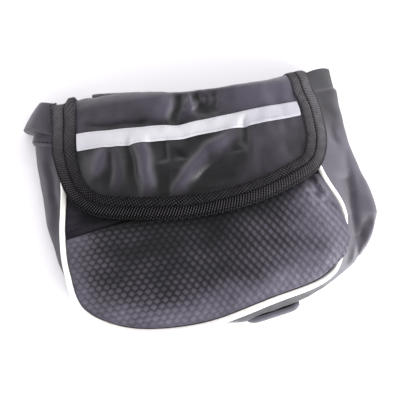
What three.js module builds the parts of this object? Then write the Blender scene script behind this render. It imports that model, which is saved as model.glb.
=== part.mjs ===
// A small bicycle top tube bag: a soft pouch with a flap, lying on its back.
// X runs across the bag, Y from its bottom seam up to its mouth, and Z from the table up through its front.
// Lengths are in millimetres.
import * as THREE from "three";

// Driving sizes of the pouch.
const PANEL_WIDTH = 166;
const PANEL_HEIGHT = 140;
const SEAM_HEIGHT = 15;
const SEAM_TILT_HEIGHT = 2;
const CROWN = 8;
const CLOTH_WALL = 1.2;
const MESH_WALL = 1.6;
const SEAM_GAP = 0.3;

// Piping round the front panel, and how far it is tucked under where the panel bulges over it.
const PIPING_DIAMETER = 3.8;
const PIPING_SINK = 0.6;
const TUCK_WIDTH = 2.6;
const TUCK_DEPTH = 3.6;
const TUCK_OVERHANG = 1.2;

// Turned hems at the gusset's two mouth ends, the rise of their edges and the left one's wing.
const HEM_WALL = 1.2;
const WING_REACH = 7;
const LEFT_EAR_RISE = 4.5;
const RIGHT_EAR_RISE = 1.8;

// Flap, its ribbed binding tape, the reflective ribbon on it and the hook-and-loop patch under it.
const FLAP_WIDTH = 162;
const FLAP_DROP = 73.5;
const FLAP_WALL = 1.2;
const ROLL_REACH = 10;
const BINDING_WIDTH = 11.5;
const BINDING_WALL = 1;
const BINDING_GROOVE = 0.4;
const BINDING_ROUND_SHARE = 0.8;
const RIBBON_WALL = 0.6;
const RIBBON_END_GAP = 0.9;
const CLOSURE_WIDTH = 60;
const CLOSURE_HEIGHT = 16;
const CLOSURE_WALL = 2.6;

// Hook-and-loop straps behind the back panel.
const STRAP_WALL = 1.8;
const STRAP_WIDTH = 32;
const STRAP_LENGTH = 110;
const STRAP_FOLD_HEIGHT = 4.4;
const LOWER_STRAP_LEAN_DEGREES = 9.5;
const UPPER_STRAP_LEAN_DEGREES = -5;

// Soft folds: how far one spreads to each side, and how high it stands.
const FOLD_SPREAD = 8;
const FOLD_RISE = 2;

const HALF_WIDTH = PANEL_WIDTH / 2;
const HALF_FLAP = FLAP_WIDTH / 2;
const BACK_RISE = STRAP_WALL + SEAM_GAP;
const FLAP_LIFT = SEAM_GAP + CLOSURE_WALL + SEAM_GAP + FLAP_WALL / 2;
const BINDING_HALF = FLAP_WALL / 2 + SEAM_GAP + BINDING_WALL;
const MOUTH_UP_SHARE = 0.92;
const BAND_WALL = CLOTH_WALL;

// The gusset's sections, from the left end of the mouth round the bottom to the right end.
// X is a share of half the panel's width, up of its height, and rise of the seam's height.
// Front is the seam with the piping, belly the outermost line, and back the seam with the back panel.
const section = (frontX, frontUp, bellyX, bellyUp, bellyRise, backX, backUp, tuck) => {
  return { frontX, frontUp, bellyX, bellyUp, bellyRise, backX, backUp, tuck };
};
const SECTIONS = [
  section(-0.945, 0.99, -1.085, 1.075, 0.46, -1.0, 0.975, 0),
  section(-0.947, 0.85, -1.145, 0.88, 0.42, -0.97, 0.86, 0),
  section(-0.96, 0.65, -1.125, 0.65, 0.36, -0.95, 0.66, 0),
  section(-1.0, 0.465, -1.1, 0.46, 0.36, -0.92, 0.47, 0),
  section(-0.996, 0.305, -1.035, 0.31, 0.36, -0.885, 0.33, 0),
  section(-0.913, 0.135, -0.902, 0.148, 0.4, -0.785, 0.185, 0),
  section(-0.581, 0.028, -0.562, 0.05, 0.4, -0.475, 0.09, 0),
  section(-0.1, 0.009, -0.07, 0.031, 0.4, 0.0, 0.066, 0),
  section(0.391, 0.068, 0.43, 0.049, 0.42, 0.455, 0.1, 0),
  section(0.794, 0.134, 0.88, 0.133, 0.4, 0.835, 0.17, 0.3),
  section(0.985, 0.26, 1.142, 0.254, 0.34, 1.03, 0.27, 1),
  section(1.0, 0.415, 1.25, 0.405, 0.34, 1.12, 0.41, 0.4),
  section(0.885, 0.572, 1.18, 0.6, 0.36, 1.09, 0.59, 0),
  section(0.815, 0.78, 1.133, 0.79, 0.42, 1.03, 0.79, 0),
  section(0.775, 0.99, 1.12, 1.06, 0.6, 0.975, 0.975, 0),
];
// Places along those sections, counted in rows.
const LEFT_WING_ROW = 0.68;
const LEFT_HEM_ROW = 0.95;
const LEFT_JOIN_ROW = 3.15;
const LEFT_CORNER_ROW = 4.7;
const RIGHT_CORNER_ROW = 9.5;
const RIGHT_JOIN_ROW = 12;
const RIGHT_HEM_ROW = 13.25;
const EAR_FADE_ROWS = 0.6;
const LAST_SECTION = SECTIONS.length - 1;

// The flap's outer edge. X is a share of half its width. Down is 0 where it comes off the roll at the top,
// 1 at its tip, and -1 at its seam behind the mouth. The ribbon ends at rows 3 and 4, and at 14 and 15.
const FLAP_EDGE = [
  { x: -0.95, down: -1 },
  { x: -0.955, down: -0.5 },
  { x: -0.97, down: 0 },
  { x: -0.985, down: 0.182 },
  { x: -0.995, down: 0.325 },
  { x: -0.982, down: 0.525 },
  { x: -0.912, down: 0.72 },
  { x: -0.745, down: 0.875 },
  { x: -0.42, down: 0.96 },
  { x: 0, down: 1.0 },
  { x: 0.37, down: 0.958 },
  { x: 0.68, down: 0.855 },
  { x: 0.88, down: 0.73 },
  { x: 0.965, down: 0.53 },
  { x: 0.97, down: 0.28 },
  { x: 0.955, down: 0.162 },
  { x: 0.925, down: 0 },
  { x: 0.905, down: -0.5 },
  { x: 0.895, down: -1 },
];
const RIBBON_TOP_ROW = 3;
const RIBBON_BOTTOM_ROW = 4;
const FLAP_CORNER_ROW = 5.4;
const FLAP_LAST = FLAP_EDGE.length - 1;
// How far the ribbon's edges sag below the straight line between its ends, from left to right.
const RIBBON_SAG = [
  { top: 0, bottom: 0 },
  { top: 0.035, bottom: 0.045 },
  { top: 0.07, bottom: 0.06 },
  { top: 0.04, bottom: 0.045 },
  { top: 0, bottom: 0 },
];
// How far the roll at the top reaches past the mouth, from left to right, as a share of its full reach.
const ROLL_ACROSS = [{ reach: 0.72 }, { reach: 1.02 }, { reach: 0.4 }, { reach: 0.45 }, { reach: 0.95 }];

// Soft folds. Each runs from one end to the other over the plan, in shares of half width and height.
const FLAP_FOLDS = [
  { fromX: -0.58, fromUp: 0.76, toX: -0.62, toUp: 0.66, spread: 0.9, rise: 0.6 },
  { fromX: -0.38, fromUp: 0.76, toX: -0.36, toUp: 0.65, spread: 0.9, rise: 0.6 },
  { fromX: -0.14, fromUp: 0.74, toX: -0.1, toUp: 0.64, spread: 0.9, rise: 0.4 },
  { fromX: 0.5, fromUp: 0.76, toX: 0.28, toUp: 0.65, spread: 1.1, rise: 0.7 },
  { fromX: 0.42, fromUp: 1.0, toX: 0.5, toUp: 0.9, spread: 1.2, rise: 0.5 },
  { fromX: -0.3, fromUp: 1.02, toX: -0.22, toUp: 0.92, spread: 1.2, rise: 0.5 },
];
const PANEL_FOLDS = [
  { fromX: -0.6, fromUp: 0.15, toX: 0.1, toUp: 0.1, spread: 1.6, rise: 0.8 },
  { fromX: -0.1, fromUp: 0.42, toX: 0.15, toUp: 0.22, spread: 1.5, rise: -0.6 },
  { fromX: 0.75, fromUp: 0.5, toX: 0.85, toUp: 0.25, spread: 1.4, rise: 0.7 },
];
const GUSSET_FOLDS = [
  { fromX: 1.06, fromUp: 0.54, toX: 1.09, toUp: 0.3, spread: 0.5, rise: -1.5 },
  { fromX: 1.17, fromUp: 0.35, toX: 0.98, toUp: 0.2, spread: 0.5, rise: -0.9 },
  { fromX: -1.02, fromUp: 0.62, toX: -1.05, toUp: 0.42, spread: 0.6, rise: -0.5 },
];

// A column's value at a place between rows, on a smooth curve through them.
function smooth(rows, column, at) {
  const i = Math.min(Math.floor(at), rows.length - 2);
  const f = at - i;
  const value = (k) => rows[Math.max(0, Math.min(rows.length - 1, k))][column];
  const [a, b, c, d] = [i - 1, i, i + 1, i + 2].map(value);
  return b + 0.5 * f * (c - a + f * (2 * a - 5 * b + 4 * c - d + f * (3 * (b - c) + d - a)));
}

// Evenly spread places from one end to the other, both included.
function spread(from, to, steps) {
  return Array.from({ length: steps + 1 }, (_, i) => from + ((to - from) * i) / steps);
}

function point(x, y, z) {
  return new THREE.Vector3(x, y, z);
}

// How far soft folds raise the cloth at a place in the plan.
function folds(table, x, y) {
  let rise = 0;
  for (const fold of table) {
    const from = new THREE.Vector2(fold.fromX * HALF_WIDTH, fold.fromUp * PANEL_HEIGHT);
    const to = new THREE.Vector2(fold.toX * HALF_WIDTH, fold.toUp * PANEL_HEIGHT);
    const run = to.clone().sub(from);
    const here = new THREE.Vector2(x, y).sub(from);
    const along = Math.max(0, Math.min(1, here.dot(run) / run.lengthSq()));
    const away = here.distanceTo(run.multiplyScalar(along)) / (fold.spread * FOLD_SPREAD);
    rise += fold.rise * FOLD_RISE * Math.exp(-away * away);
  }
  return rise;
}

// Height of the front's outer face without folds: a dome that falls to the seam and stays high at the mouth.
const DOME_UP_SHARE = 0.62;
const DOME_MOUTH_SHARE = 0.9;
const DOME_CORNER = 2.6;
const DOME_FULLNESS = 3;
function domeHeight(x, y) {
  const across = Math.abs(x / HALF_WIDTH);
  const up = y / PANEL_HEIGHT - DOME_UP_SHARE;
  const along = Math.abs(up) / (up < 0 ? DOME_UP_SHARE : DOME_MOUTH_SHARE);
  const out = (across ** DOME_CORNER + along ** DOME_CORNER) ** (1 / DOME_CORNER);
  return SEAM_HEIGHT + (SEAM_TILT_HEIGHT * x) / HALF_WIDTH + CROWN * (1 - out ** DOME_FULLNESS);
}

function frontHeight(x, y) {
  return domeHeight(x, y) + folds(PANEL_FOLDS, x, y);
}

// The direction square to a line, on the right as it runs, at a place counted in rows up to the last one.
const ROW_SHARE = 0.05;
function squareTo(line, place, last) {
  const run = line(Math.min(last, place + ROW_SHARE)).sub(line(Math.max(0, place - ROW_SHARE)));
  return new THREE.Vector2(run.y, -run.x).normalize();
}

// A line of the sections in the plan: the front seam, the belly or the back seam.
const sectionLine = (side) => (place) =>
  new THREE.Vector2(
    smooth(SECTIONS, `${side}X`, place) * HALF_WIDTH,
    smooth(SECTIONS, `${side}Up`, place) * PANEL_HEIGHT,
  );

// The front seam in the plan, the direction out of the bag there and how far it is tucked in.
const frontLine = sectionLine("front");
function seam(place) {
  const out = squareTo(frontLine, place, LAST_SECTION);
  return { at: frontLine(place), out, tuck: smooth(SECTIONS, "tuck", place) };
}

// Where the piping is tucked in it drops first, and then the panel's edge passes over it.
function pipingCentre(place) {
  const { at, out, tuck } = seam(place);
  const p = at.addScaledVector(out, -TUCK_WIDTH * Math.max(0, 2 * tuck - 1));
  return point(p.x, p.y, frontHeight(p.x, p.y) - PIPING_SINK - TUCK_DEPTH * Math.min(1, 2 * tuck));
}

// The front panel's own edge, just inside the piping or a little over it.
function panelEdge(place) {
  const { at, out, tuck } = seam(place);
  const inside = PIPING_DIAMETER / 2 + SEAM_GAP;
  const over = Math.max(0, 2 * tuck - 1);
  return at.addScaledVector(out, TUCK_OVERHANG * over - inside * (1 - over));
}

// A closed solid from a grid of outer points and the grid of inner points behind it.
function sheetSolid(outer, inner) {
  const rows = outer.length;
  const columns = outer[0].length;
  const positions = [...outer.flat(), ...inner.flat()].flatMap((p) => [p.x, p.y, p.z]);
  const id = (side, i, j) => side * rows * columns + i * columns + j;
  const triangles = [];
  const quad = (a, b, c, d) => triangles.push([a, b, c], [a, c, d]);
  for (let i = 0; i + 1 < rows; i++) {
    for (let j = 0; j + 1 < columns; j++) {
      quad(id(0, i, j), id(0, i + 1, j), id(0, i + 1, j + 1), id(0, i, j + 1));
      quad(id(1, i, j), id(1, i, j + 1), id(1, i + 1, j + 1), id(1, i + 1, j));
    }
    quad(id(0, i, 0), id(1, i, 0), id(1, i + 1, 0), id(0, i + 1, 0));
    quad(id(0, i, columns - 1), id(0, i + 1, columns - 1), id(1, i + 1, columns - 1), id(1, i, columns - 1));
  }
  for (let j = 0; j + 1 < columns; j++) {
    quad(id(0, 0, j), id(0, 0, j + 1), id(1, 0, j + 1), id(1, 0, j));
    quad(id(0, rows - 1, j), id(1, rows - 1, j), id(1, rows - 1, j + 1), id(0, rows - 1, j + 1));
  }
  return closedGeometry(positions, triangles);
}

// A closed solid through rings of points, with flat ends.
function ringSolid(rings) {
  const sides = rings[0].length;
  const last = rings.length - 1;
  const positions = rings.flat().flatMap((p) => [p.x, p.y, p.z]);
  const triangles = [];
  for (let i = 0; i < last; i++) {
    for (let j = 0; j < sides; j++) {
      const [a, b] = [i * sides + j, i * sides + ((j + 1) % sides)];
      triangles.push([a, b, b + sides], [a, b + sides, a + sides]);
    }
  }
  for (let j = 1; j + 1 < sides; j++) {
    triangles.push([0, j + 1, j], [last * sides, last * sides + j, last * sides + j + 1]);
  }
  return closedGeometry(positions, triangles);
}

// Turns the triangles round when they face inwards.
function closedGeometry(positions, triangles) {
  const corner = (i) => point(positions[3 * i], positions[3 * i + 1], positions[3 * i + 2]);
  const volume = triangles.reduce((sum, [a, b, c]) => sum + corner(a).dot(corner(b).cross(corner(c))), 0);
  const facing = volume < 0 ? triangles.map(([a, b, c]) => [a, c, b]) : triangles;
  const geometry = new THREE.BufferGeometry();
  geometry.setAttribute("position", new THREE.Float32BufferAttribute(positions, 3));
  geometry.setIndex(facing.flat());
  geometry.computeVertexNormals();
  return geometry;
}

// The grid moved along its own normals by a distance that may differ from place to place.
function offsetGrid(grid, distance) {
  const clampRow = (i) => Math.max(0, Math.min(grid.length - 1, i));
  const clampColumn = (j) => Math.max(0, Math.min(grid[0].length - 1, j));
  return grid.map((row, i) =>
    row.map((p, j) => {
      const along = grid[clampRow(i + 1)][j].clone().sub(grid[clampRow(i - 1)][j]);
      const across = row[clampColumn(j + 1)].clone().sub(row[clampColumn(j - 1)]);
      return p.clone().addScaledVector(across.cross(along).normalize(), distance(i, j));
    }),
  );
}

// A patch in the plan between four edges, each a function of its share of the way.
function patch(left, right, top, bottom, across, down) {
  return across.map((u) =>
    down.map((v) => {
      const p = top(u).clone().multiplyScalar(1 - v);
      p.addScaledVector(bottom(u), v).addScaledVector(left(v), 1 - u).addScaledVector(right(v), u);
      p.addScaledVector(left(0), -(1 - u) * (1 - v)).addScaledVector(right(0), -u * (1 - v));
      return p.addScaledVector(left(1), -(1 - u) * v).addScaledVector(right(1), -u * v);
    }),
  );
}

const between = (from, to) => (share) => from + (to - from) * share;
const straight = (from, to) => (share) => from.clone().lerp(to, share);
const raised = (grid, height) => grid.map((row) => row.map((p) => point(p.x, p.y, height(p.x, p.y))));

const ACROSS_STEPS = 24;
const PANEL_STEPS = 7;
const BAND_STEPS = 5;
const across = spread(0, 1, ACROSS_STEPS);

const nylon = new THREE.MeshStandardMaterial({ color: 0x2e2d33, roughness: 0.5, metalness: 0 });
const backNylon = new THREE.MeshStandardMaterial({ color: 0x26252b, roughness: 0.6, metalness: 0 });
const honeycomb = new THREE.MeshStandardMaterial({ color: 0x1e1d24, roughness: 0.45, metalness: 0 });
const grosgrain = new THREE.MeshStandardMaterial({ color: 0x1c1a1f, roughness: 0.7, metalness: 0 });
const pipingVinyl = new THREE.MeshStandardMaterial({ color: 0xf2f1ec, roughness: 0.4, metalness: 0 });
const reflective = new THREE.MeshStandardMaterial({ color: 0xd0d0d6, roughness: 0.35, metalness: 0.1 });
const hookAndLoop = new THREE.MeshStandardMaterial({ color: 0x2a292f, roughness: 0.9, metalness: 0 });

function named(name, geometry, material) {
  const mesh = new THREE.Mesh(geometry, material);
  mesh.name = name;
  return mesh;
}

// Honeycomb cloth panel, from the join under the flap round the bottom.
function meshPanel() {
  const bottomEdge = between(LEFT_CORNER_ROW, RIGHT_CORNER_ROW);
  const leftEdge = between(LEFT_JOIN_ROW, LEFT_CORNER_ROW);
  const rightEdge = between(RIGHT_JOIN_ROW, RIGHT_CORNER_ROW);
  const plan = patch(
    (v) => panelEdge(leftEdge(v)),
    (v) => panelEdge(rightEdge(v)),
    straight(panelEdge(LEFT_JOIN_ROW), panelEdge(RIGHT_JOIN_ROW)),
    (u) => panelEdge(bottomEdge(u)),
    across,
    spread(0, 1, PANEL_STEPS),
  );
  const outer = raised(plan, frontHeight);
  const inner = raised(plan, (x, y) => frontHeight(x, y) - MESH_WALL);
  return named("mesh_panel", sheetSolid(outer, inner), honeycomb);
}

// Plain nylon band between the honeycomb panel and the mouth.
function mouthBand() {
  const leftEdge = between(0, LEFT_JOIN_ROW);
  const rightEdge = between(LAST_SECTION, RIGHT_JOIN_ROW);
  const clear = new THREE.Vector2(0, SEAM_GAP);
  const drop = new THREE.Vector2(0, (MOUTH_UP_SHARE - seam(0).at.y / PANEL_HEIGHT) * PANEL_HEIGHT);
  const side = (edge) => (v) =>
    panelEdge(edge(v)).addScaledVector(drop, 1 - v).addScaledVector(clear, v);
  const left = side(leftEdge);
  const right = side(rightEdge);
  const plan = patch(left, right, straight(left(0), right(0)), straight(left(1), right(1)), across,
    spread(0, 1, BAND_STEPS));
  const outer = raised(plan, frontHeight);
  const inner = raised(plan, (x, y) => frontHeight(x, y) - BAND_WALL);
  return named("mouth_band", sheetSolid(outer, inner), nylon);
}

// Places round the bag that every edge piece shares, so that their flats lie side by side.
const HEM_EDGE_ROWS = 0.06;
const places = [
  ...spread(0, LEFT_WING_ROW, 3),
  ...spread(LEFT_WING_ROW + HEM_EDGE_ROWS, LEFT_HEM_ROW, 1),
  ...spread(LEFT_HEM_ROW + HEM_EDGE_ROWS, LEFT_JOIN_ROW, 5),
  ...spread(LEFT_JOIN_ROW, LEFT_CORNER_ROW, PANEL_STEPS).slice(1),
  ...spread(LEFT_CORNER_ROW, RIGHT_CORNER_ROW, ACROSS_STEPS).slice(1),
  ...spread(RIGHT_CORNER_ROW, RIGHT_JOIN_ROW, PANEL_STEPS).slice(1),
  ...spread(RIGHT_JOIN_ROW, RIGHT_HEM_ROW - HEM_EDGE_ROWS, 3).slice(1),
  ...spread(RIGHT_HEM_ROW, LAST_SECTION, 3),
];

const PIPING_SIDES = 8;
function piping() {
  const rings = places.map((place) => {
    const centre = pipingCentre(place);
    const { out } = seam(place);
    return Array.from({ length: PIPING_SIDES }, (_, i) => {
      const turn = (2 * Math.PI * (i + 0.5)) / PIPING_SIDES;
      const side = (Math.cos(turn) * PIPING_DIAMETER) / 2;
      const height = (Math.sin(turn) * PIPING_DIAMETER) / 2;
      return point(centre.x + side * out.x, centre.y + side * out.y, centre.z + height);
    });
  });
  return named("piping", ringSolid(rings), pipingVinyl);
}

// Frame of a strap: the middle of its fold, the way in along it and the way across it, turned by a lean.
function strapFrame(x, y, leanDegrees, inward) {
  const turn = THREE.MathUtils.degToRad(leanDegrees);
  const across = new THREE.Vector2(Math.cos(turn), Math.sin(turn));
  const along = new THREE.Vector2(-across.y, across.x).multiplyScalar(inward);
  return { tip: new THREE.Vector2(x, y), along, across };
}
const lowerStrap = strapFrame(0.41 * HALF_WIDTH, 0.008 * PANEL_HEIGHT, LOWER_STRAP_LEAN_DEGREES, 1);
const upperStrap = strapFrame(-0.5 * HALF_WIDTH, 1.098 * PANEL_HEIGHT, UPPER_STRAP_LEAN_DEGREES, -1);

// The gusset's foot lies on the table, and rises over the strap where it crosses it.
const LIFT_MARGIN = 8;
const LIFT_FALL = 10;
function strapLift(x, y) {
  const off = Math.abs(new THREE.Vector2(x, y).sub(lowerStrap.tip).dot(lowerStrap.across));
  const past = off - STRAP_WIDTH / 2 - LIFT_MARGIN;
  return BACK_RISE * (1 - THREE.MathUtils.smoothstep(past, 0, LIFT_FALL));
}

// Each ear's edge at the mouth rises between the front seam and the belly.
function earRise(place) {
  const left = LEFT_EAR_RISE * (1 - THREE.MathUtils.smoothstep(place, 0, EAR_FADE_ROWS));
  return left + RIGHT_EAR_RISE * THREE.MathUtils.smoothstep(place, LAST_SECTION - EAR_FADE_ROWS, LAST_SECTION);
}

const GUSSET_STEPS = 8;
const FOOT_SHARE = 0.5;
const bellyLine = sectionLine("belly");
const backLine = sectionLine("back");
function gusset() {
  const outer = places.map((place) => {
    const front = pipingCentre(place);
    const start = front.z - PIPING_DIAMETER / 2 - SEAM_GAP;
    const [bellyPlan, backPlan] = [bellyLine(place), backLine(place)];
    const belly = point(bellyPlan.x, bellyPlan.y, smooth(SECTIONS, "bellyRise", place) * SEAM_HEIGHT);
    const back = point(backPlan.x, backPlan.y, BACK_RISE);
    const foot = belly.clone().lerp(back, FOOT_SHARE);
    foot.z = strapLift(foot.x, foot.y);
    const rows = [{ x: front.x, y: front.y, z: start }, belly, foot, back];
    return spread(0, rows.length - 1, GUSSET_STEPS).map((at) => {
      const p = point(smooth(rows, "x", at), smooth(rows, "y", at), smooth(rows, "z", at));
      p.y += earRise(place) * Math.sin(Math.PI * Math.min(1, at));
      return p.setZ(Math.max(p.z, strapLift(p.x, p.y)));
    });
  });
  const last = GUSSET_STEPS;
  const share = (j) => Math.sin((Math.PI * j) / last);
  const hem = (i) => (places[i] <= LEFT_HEM_ROW || places[i] >= RIGHT_HEM_ROW ? HEM_WALL : 0);
  const wing = (i) => (places[i] <= LEFT_WING_ROW ? (WING_REACH * places[i]) / LEFT_WING_ROW : 0);
  const dent = (i, j) => folds(GUSSET_FOLDS, outer[i][j].x, outer[i][j].y) * share(j);
  const face = offsetGrid(outer, (i, j) => (hem(i) + wing(i) * share(j)) * share(j) + dent(i, j));
  const inside = offsetGrid(outer, (i, j) => dent(i, j) - CLOTH_WALL);
  face.forEach((row) => row.forEach((p) => p.setZ(Math.max(0, p.z))));
  inside.forEach((row, i) => {
    row[0].setZ(Math.min(row[0].z, face[i][0].z));
    row[last].copy(face[i][last]).setZ(face[i][last].z + CLOTH_WALL);
  });
  return named("gusset", sheetSolid(face, inside), nylon);
}

// Flat back panel between the gusset's back seams, raised off the table by the straps under it.
const BACK_STEPS = 8;
function backPanel() {
  const edge = (place) => backLine(place).addScaledVector(squareTo(backLine, place, LAST_SECTION), -SEAM_GAP);
  const bottomEdge = between(LEFT_CORNER_ROW, RIGHT_CORNER_ROW);
  const leftEdge = between(0, LEFT_CORNER_ROW);
  const rightEdge = between(LAST_SECTION, RIGHT_CORNER_ROW);
  const plan = patch(
    (v) => edge(leftEdge(v)),
    (v) => edge(rightEdge(v)),
    straight(edge(0), edge(LAST_SECTION)),
    (u) => edge(bottomEdge(u)),
    across,
    spread(0, 1, BACK_STEPS),
  );
  const outer = raised(plan, () => BACK_RISE);
  const inner = raised(plan, () => BACK_RISE + CLOTH_WALL);
  return named("back_panel", sheetSolid(outer, inner), backNylon);
}

// The flap is laid out flat first: across it, and down it from the line where it comes off the roll.
const MOUTH_LINE = SECTIONS[0].backUp * PANEL_HEIGHT + SEAM_GAP;
const ROLL_FOOT = BACK_RISE + CLOTH_WALL / 2;
const ROLL_LENGTH = (Math.PI * (ROLL_REACH + (SEAM_HEIGHT + CROWN) / 2)) / 2;

function flapHeight(x, y) {
  return frontHeight(x, y) + FLAP_LIFT + folds(FLAP_FOLDS, x, y);
}

// The middle of the flap's cloth over a place in its flat layout.
function flapPoint(x, down) {
  if (down >= 0) {
    return point(x, MOUTH_LINE - down, flapHeight(x, MOUTH_LINE - down));
  }
  const share = Math.max(0, Math.min(1, 0.5 + x / FLAP_WIDTH));
  const reach = ROLL_REACH * smooth(ROLL_ACROSS, "reach", share * (ROLL_ACROSS.length - 1));
  const turn = Math.PI * (0.5 + down / ROLL_LENGTH);
  const radius = (flapHeight(x, MOUTH_LINE) - ROLL_FOOT) / 2;
  return point(x, MOUTH_LINE + reach * Math.cos(turn), ROLL_FOOT + radius * (1 + Math.sin(turn)));
}

// The same place moved off the cloth's middle, out of the bag where the distance is positive.
function offFlap(x, down, distance) {
  const step = 0.5;
  const acrossFlap = flapPoint(x + step, down).sub(flapPoint(x - step, down));
  const downFlap = flapPoint(x, down + step).sub(flapPoint(x, down - step));
  return flapPoint(x, down).addScaledVector(downFlap.cross(acrossFlap).normalize(), distance);
}

// The flap's outer edge in the flat layout, and a place on it moved in by a distance.
function flapRim(place) {
  const down = smooth(FLAP_EDGE, "down", place);
  const length = down < 0 ? ROLL_LENGTH : FLAP_DROP;
  return new THREE.Vector2(smooth(FLAP_EDGE, "x", place) * HALF_FLAP, down * length);
}

function flapEdge(place, inset = 0) {
  return flapRim(place).addScaledVector(squareTo(flapRim, place, FLAP_LAST), inset);
}

// The flap's grid in three bands: the roll, the part under the ribbon, and the part below it.
const ROLL_ROWS = 12;
const RIBBON_ROWS = 2;
const TIP_ROWS = 7;
const ribbonSpan = flapEdge(FLAP_LAST - RIBBON_TOP_ROW).x - flapEdge(RIBBON_TOP_ROW).x;
const bindingShare = (BINDING_WIDTH + RIBBON_END_GAP) / ribbonSpan;
const flapAcross = [0, ...spread(bindingShare, 1 - bindingShare, ACROSS_STEPS - 2), 1];
const flapBands = [
  { from: 0, to: RIBBON_TOP_ROW, rows: ROLL_ROWS },
  { from: RIBBON_TOP_ROW, to: RIBBON_BOTTOM_ROW, rows: RIBBON_ROWS },
  { from: RIBBON_BOTTOM_ROW, to: FLAP_CORNER_ROW, rows: TIP_ROWS },
];

function flapLine(row) {
  if (row === FLAP_CORNER_ROW) {
    return (u) => flapEdge(row + (FLAP_LAST - 2 * row) * u);
  }
  const column = { [RIBBON_TOP_ROW]: "top", [RIBBON_BOTTOM_ROW]: "bottom" }[row];
  return (u) => {
    const p = flapEdge(row).lerp(flapEdge(FLAP_LAST - row), u);
    const sag = column ? smooth(RIBBON_SAG, column, u * (RIBBON_SAG.length - 1)) : 0;
    return p.add(new THREE.Vector2(0, sag * FLAP_DROP));
  };
}

function flapBand({ from, to, rows }) {
  const edge = between(from, to);
  const left = (v) => flapEdge(edge(v));
  const right = (v) => flapEdge(FLAP_LAST - edge(v));
  return patch(left, right, flapLine(from), flapLine(to), flapAcross, spread(0, 1, rows));
}

const offGrid = (plan, distance) => plan.map((line) => line.map((p) => offFlap(p.x, p.y, distance)));

function flap() {
  const bands = flapBands.map(flapBand);
  const plan = flapAcross.map((_, i) => bands.flatMap((band, k) => (k ? band[i].slice(1) : band[i])));
  return named("flap", sheetSolid(offGrid(plan, FLAP_WALL / 2), offGrid(plan, -FLAP_WALL / 2)), nylon);
}

function reflectiveRibbon() {
  const plan = flapBand(flapBands[1]).slice(1, -1);
  const foot = FLAP_WALL / 2 + SEAM_GAP;
  const ribbon = sheetSolid(offGrid(plan, foot + RIBBON_WALL), offGrid(plan, foot));
  return named("reflective_ribbon", ribbon, reflective);
}

// Half a section of the binding tape: how far in from the flap's edge, as a share of the tape's width,
// and how far off the middle of the cloth.
const BINDING_SECTION = [
  { inset: 1, off: BINDING_HALF - BINDING_GROOVE },
  { inset: 0.75, off: BINDING_HALF },
  { inset: 0.5, off: BINDING_HALF - BINDING_GROOVE },
  { inset: 0.25, off: BINDING_HALF },
  { inset: 0, off: BINDING_HALF - BINDING_GROOVE },
];

function flapBinding() {
  const side = flapBands.flatMap(({ from, to, rows }, k) => spread(from, to, rows).slice(k ? 1 : 0));
  const tip = flapAcross.slice(1, -1).map((u) => FLAP_CORNER_ROW + (FLAP_LAST - 2 * FLAP_CORNER_ROW) * u);
  const along = [...side, ...tip, ...side.map((row) => FLAP_LAST - row).reverse()];
  const at = (place, inset, off) => {
    const p = flapEdge(place, inset);
    return offFlap(p.x, p.y, off);
  };
  const hollow = FLAP_WALL / 2 + SEAM_GAP;
  const round = BINDING_ROUND_SHARE * BINDING_WALL;
  const outer = along.map((place) => [
    ...BINDING_SECTION.map(({ inset, off }) => at(place, inset * BINDING_WIDTH, off)),
    at(place, -SEAM_GAP - BINDING_WALL, hollow),
    at(place, -SEAM_GAP - BINDING_WALL, -hollow),
    at(place, 0, -hollow - round),
    at(place, BINDING_WIDTH, -hollow - BINDING_WALL),
  ]);
  const inner = along.map((place) => [
    ...BINDING_SECTION.map(({ inset }) => at(place, inset * BINDING_WIDTH, hollow)),
    at(place, -SEAM_GAP, hollow),
    at(place, -SEAM_GAP, -hollow),
    at(place, 0, -hollow),
    at(place, BINDING_WIDTH, -hollow),
  ]);
  return named("flap_binding", sheetSolid(outer, inner), grosgrain);
}

// One plain hook-and-loop patch between the flap's tip and the band under it, clear of the binding.
const CLOSURE_CORNER_ROWS = [8, 10];
const CLOSURE_STEPS = 10;
const CLOSURE_ROWS = 3;
function closurePatch() {
  const inset = BINDING_WIDTH + RIBBON_END_GAP;
  const rows = CLOSURE_CORNER_ROWS.map((row) => flapEdge(row, inset).y);
  const top = MOUTH_LINE - Math.min(...rows) + CLOSURE_HEIGHT;
  const plan = spread(-CLOSURE_WIDTH / 2, CLOSURE_WIDTH / 2, CLOSURE_STEPS).map((x) =>
    spread(top, top - CLOSURE_HEIGHT, CLOSURE_ROWS).map((y) => new THREE.Vector2(x, y)),
  );
  const outer = raised(plan, (x, y) => frontHeight(x, y) + SEAM_GAP + CLOSURE_WALL);
  const inner = raised(plan, (x, y) => frontHeight(x, y) + SEAM_GAP);
  return named("closure_patch", sheetSolid(outer, inner), hookAndLoop);
}

// A flat strap on the table whose outer end is folded back over itself.
const STRAP_TURN_STEPS = 6;
const STRAP_TUCK = 1;
function strap(name, { tip, along, across: side }) {
  const middle = (STRAP_FOLD_HEIGHT - STRAP_WALL) / 2;
  const centre = STRAP_FOLD_HEIGHT / 2;
  const turns = spread(-Math.PI / 2, Math.PI / 2, STRAP_TURN_STEPS);
  const line = (radius) => [
    { in: STRAP_LENGTH, z: centre - radius },
    { in: STRAP_LENGTH / 2, z: centre - radius },
    ...turns.map((turn) => ({ in: centre - radius * Math.cos(turn), z: centre + radius * Math.sin(turn) })),
    { in: centre + STRAP_TUCK, z: centre + radius },
  ];
  const grid = (radius) =>
    line(radius).map((row) =>
      spread(-STRAP_WIDTH / 2, STRAP_WIDTH / 2, 2).map((off) => {
        const p = tip.clone().addScaledVector(along, row.in).addScaledVector(side, off);
        return point(p.x, p.y, row.z);
      }),
    );
  return named(name, sheetSolid(grid(middle + STRAP_WALL / 2), grid(middle - STRAP_WALL / 2)), hookAndLoop);
}

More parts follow.
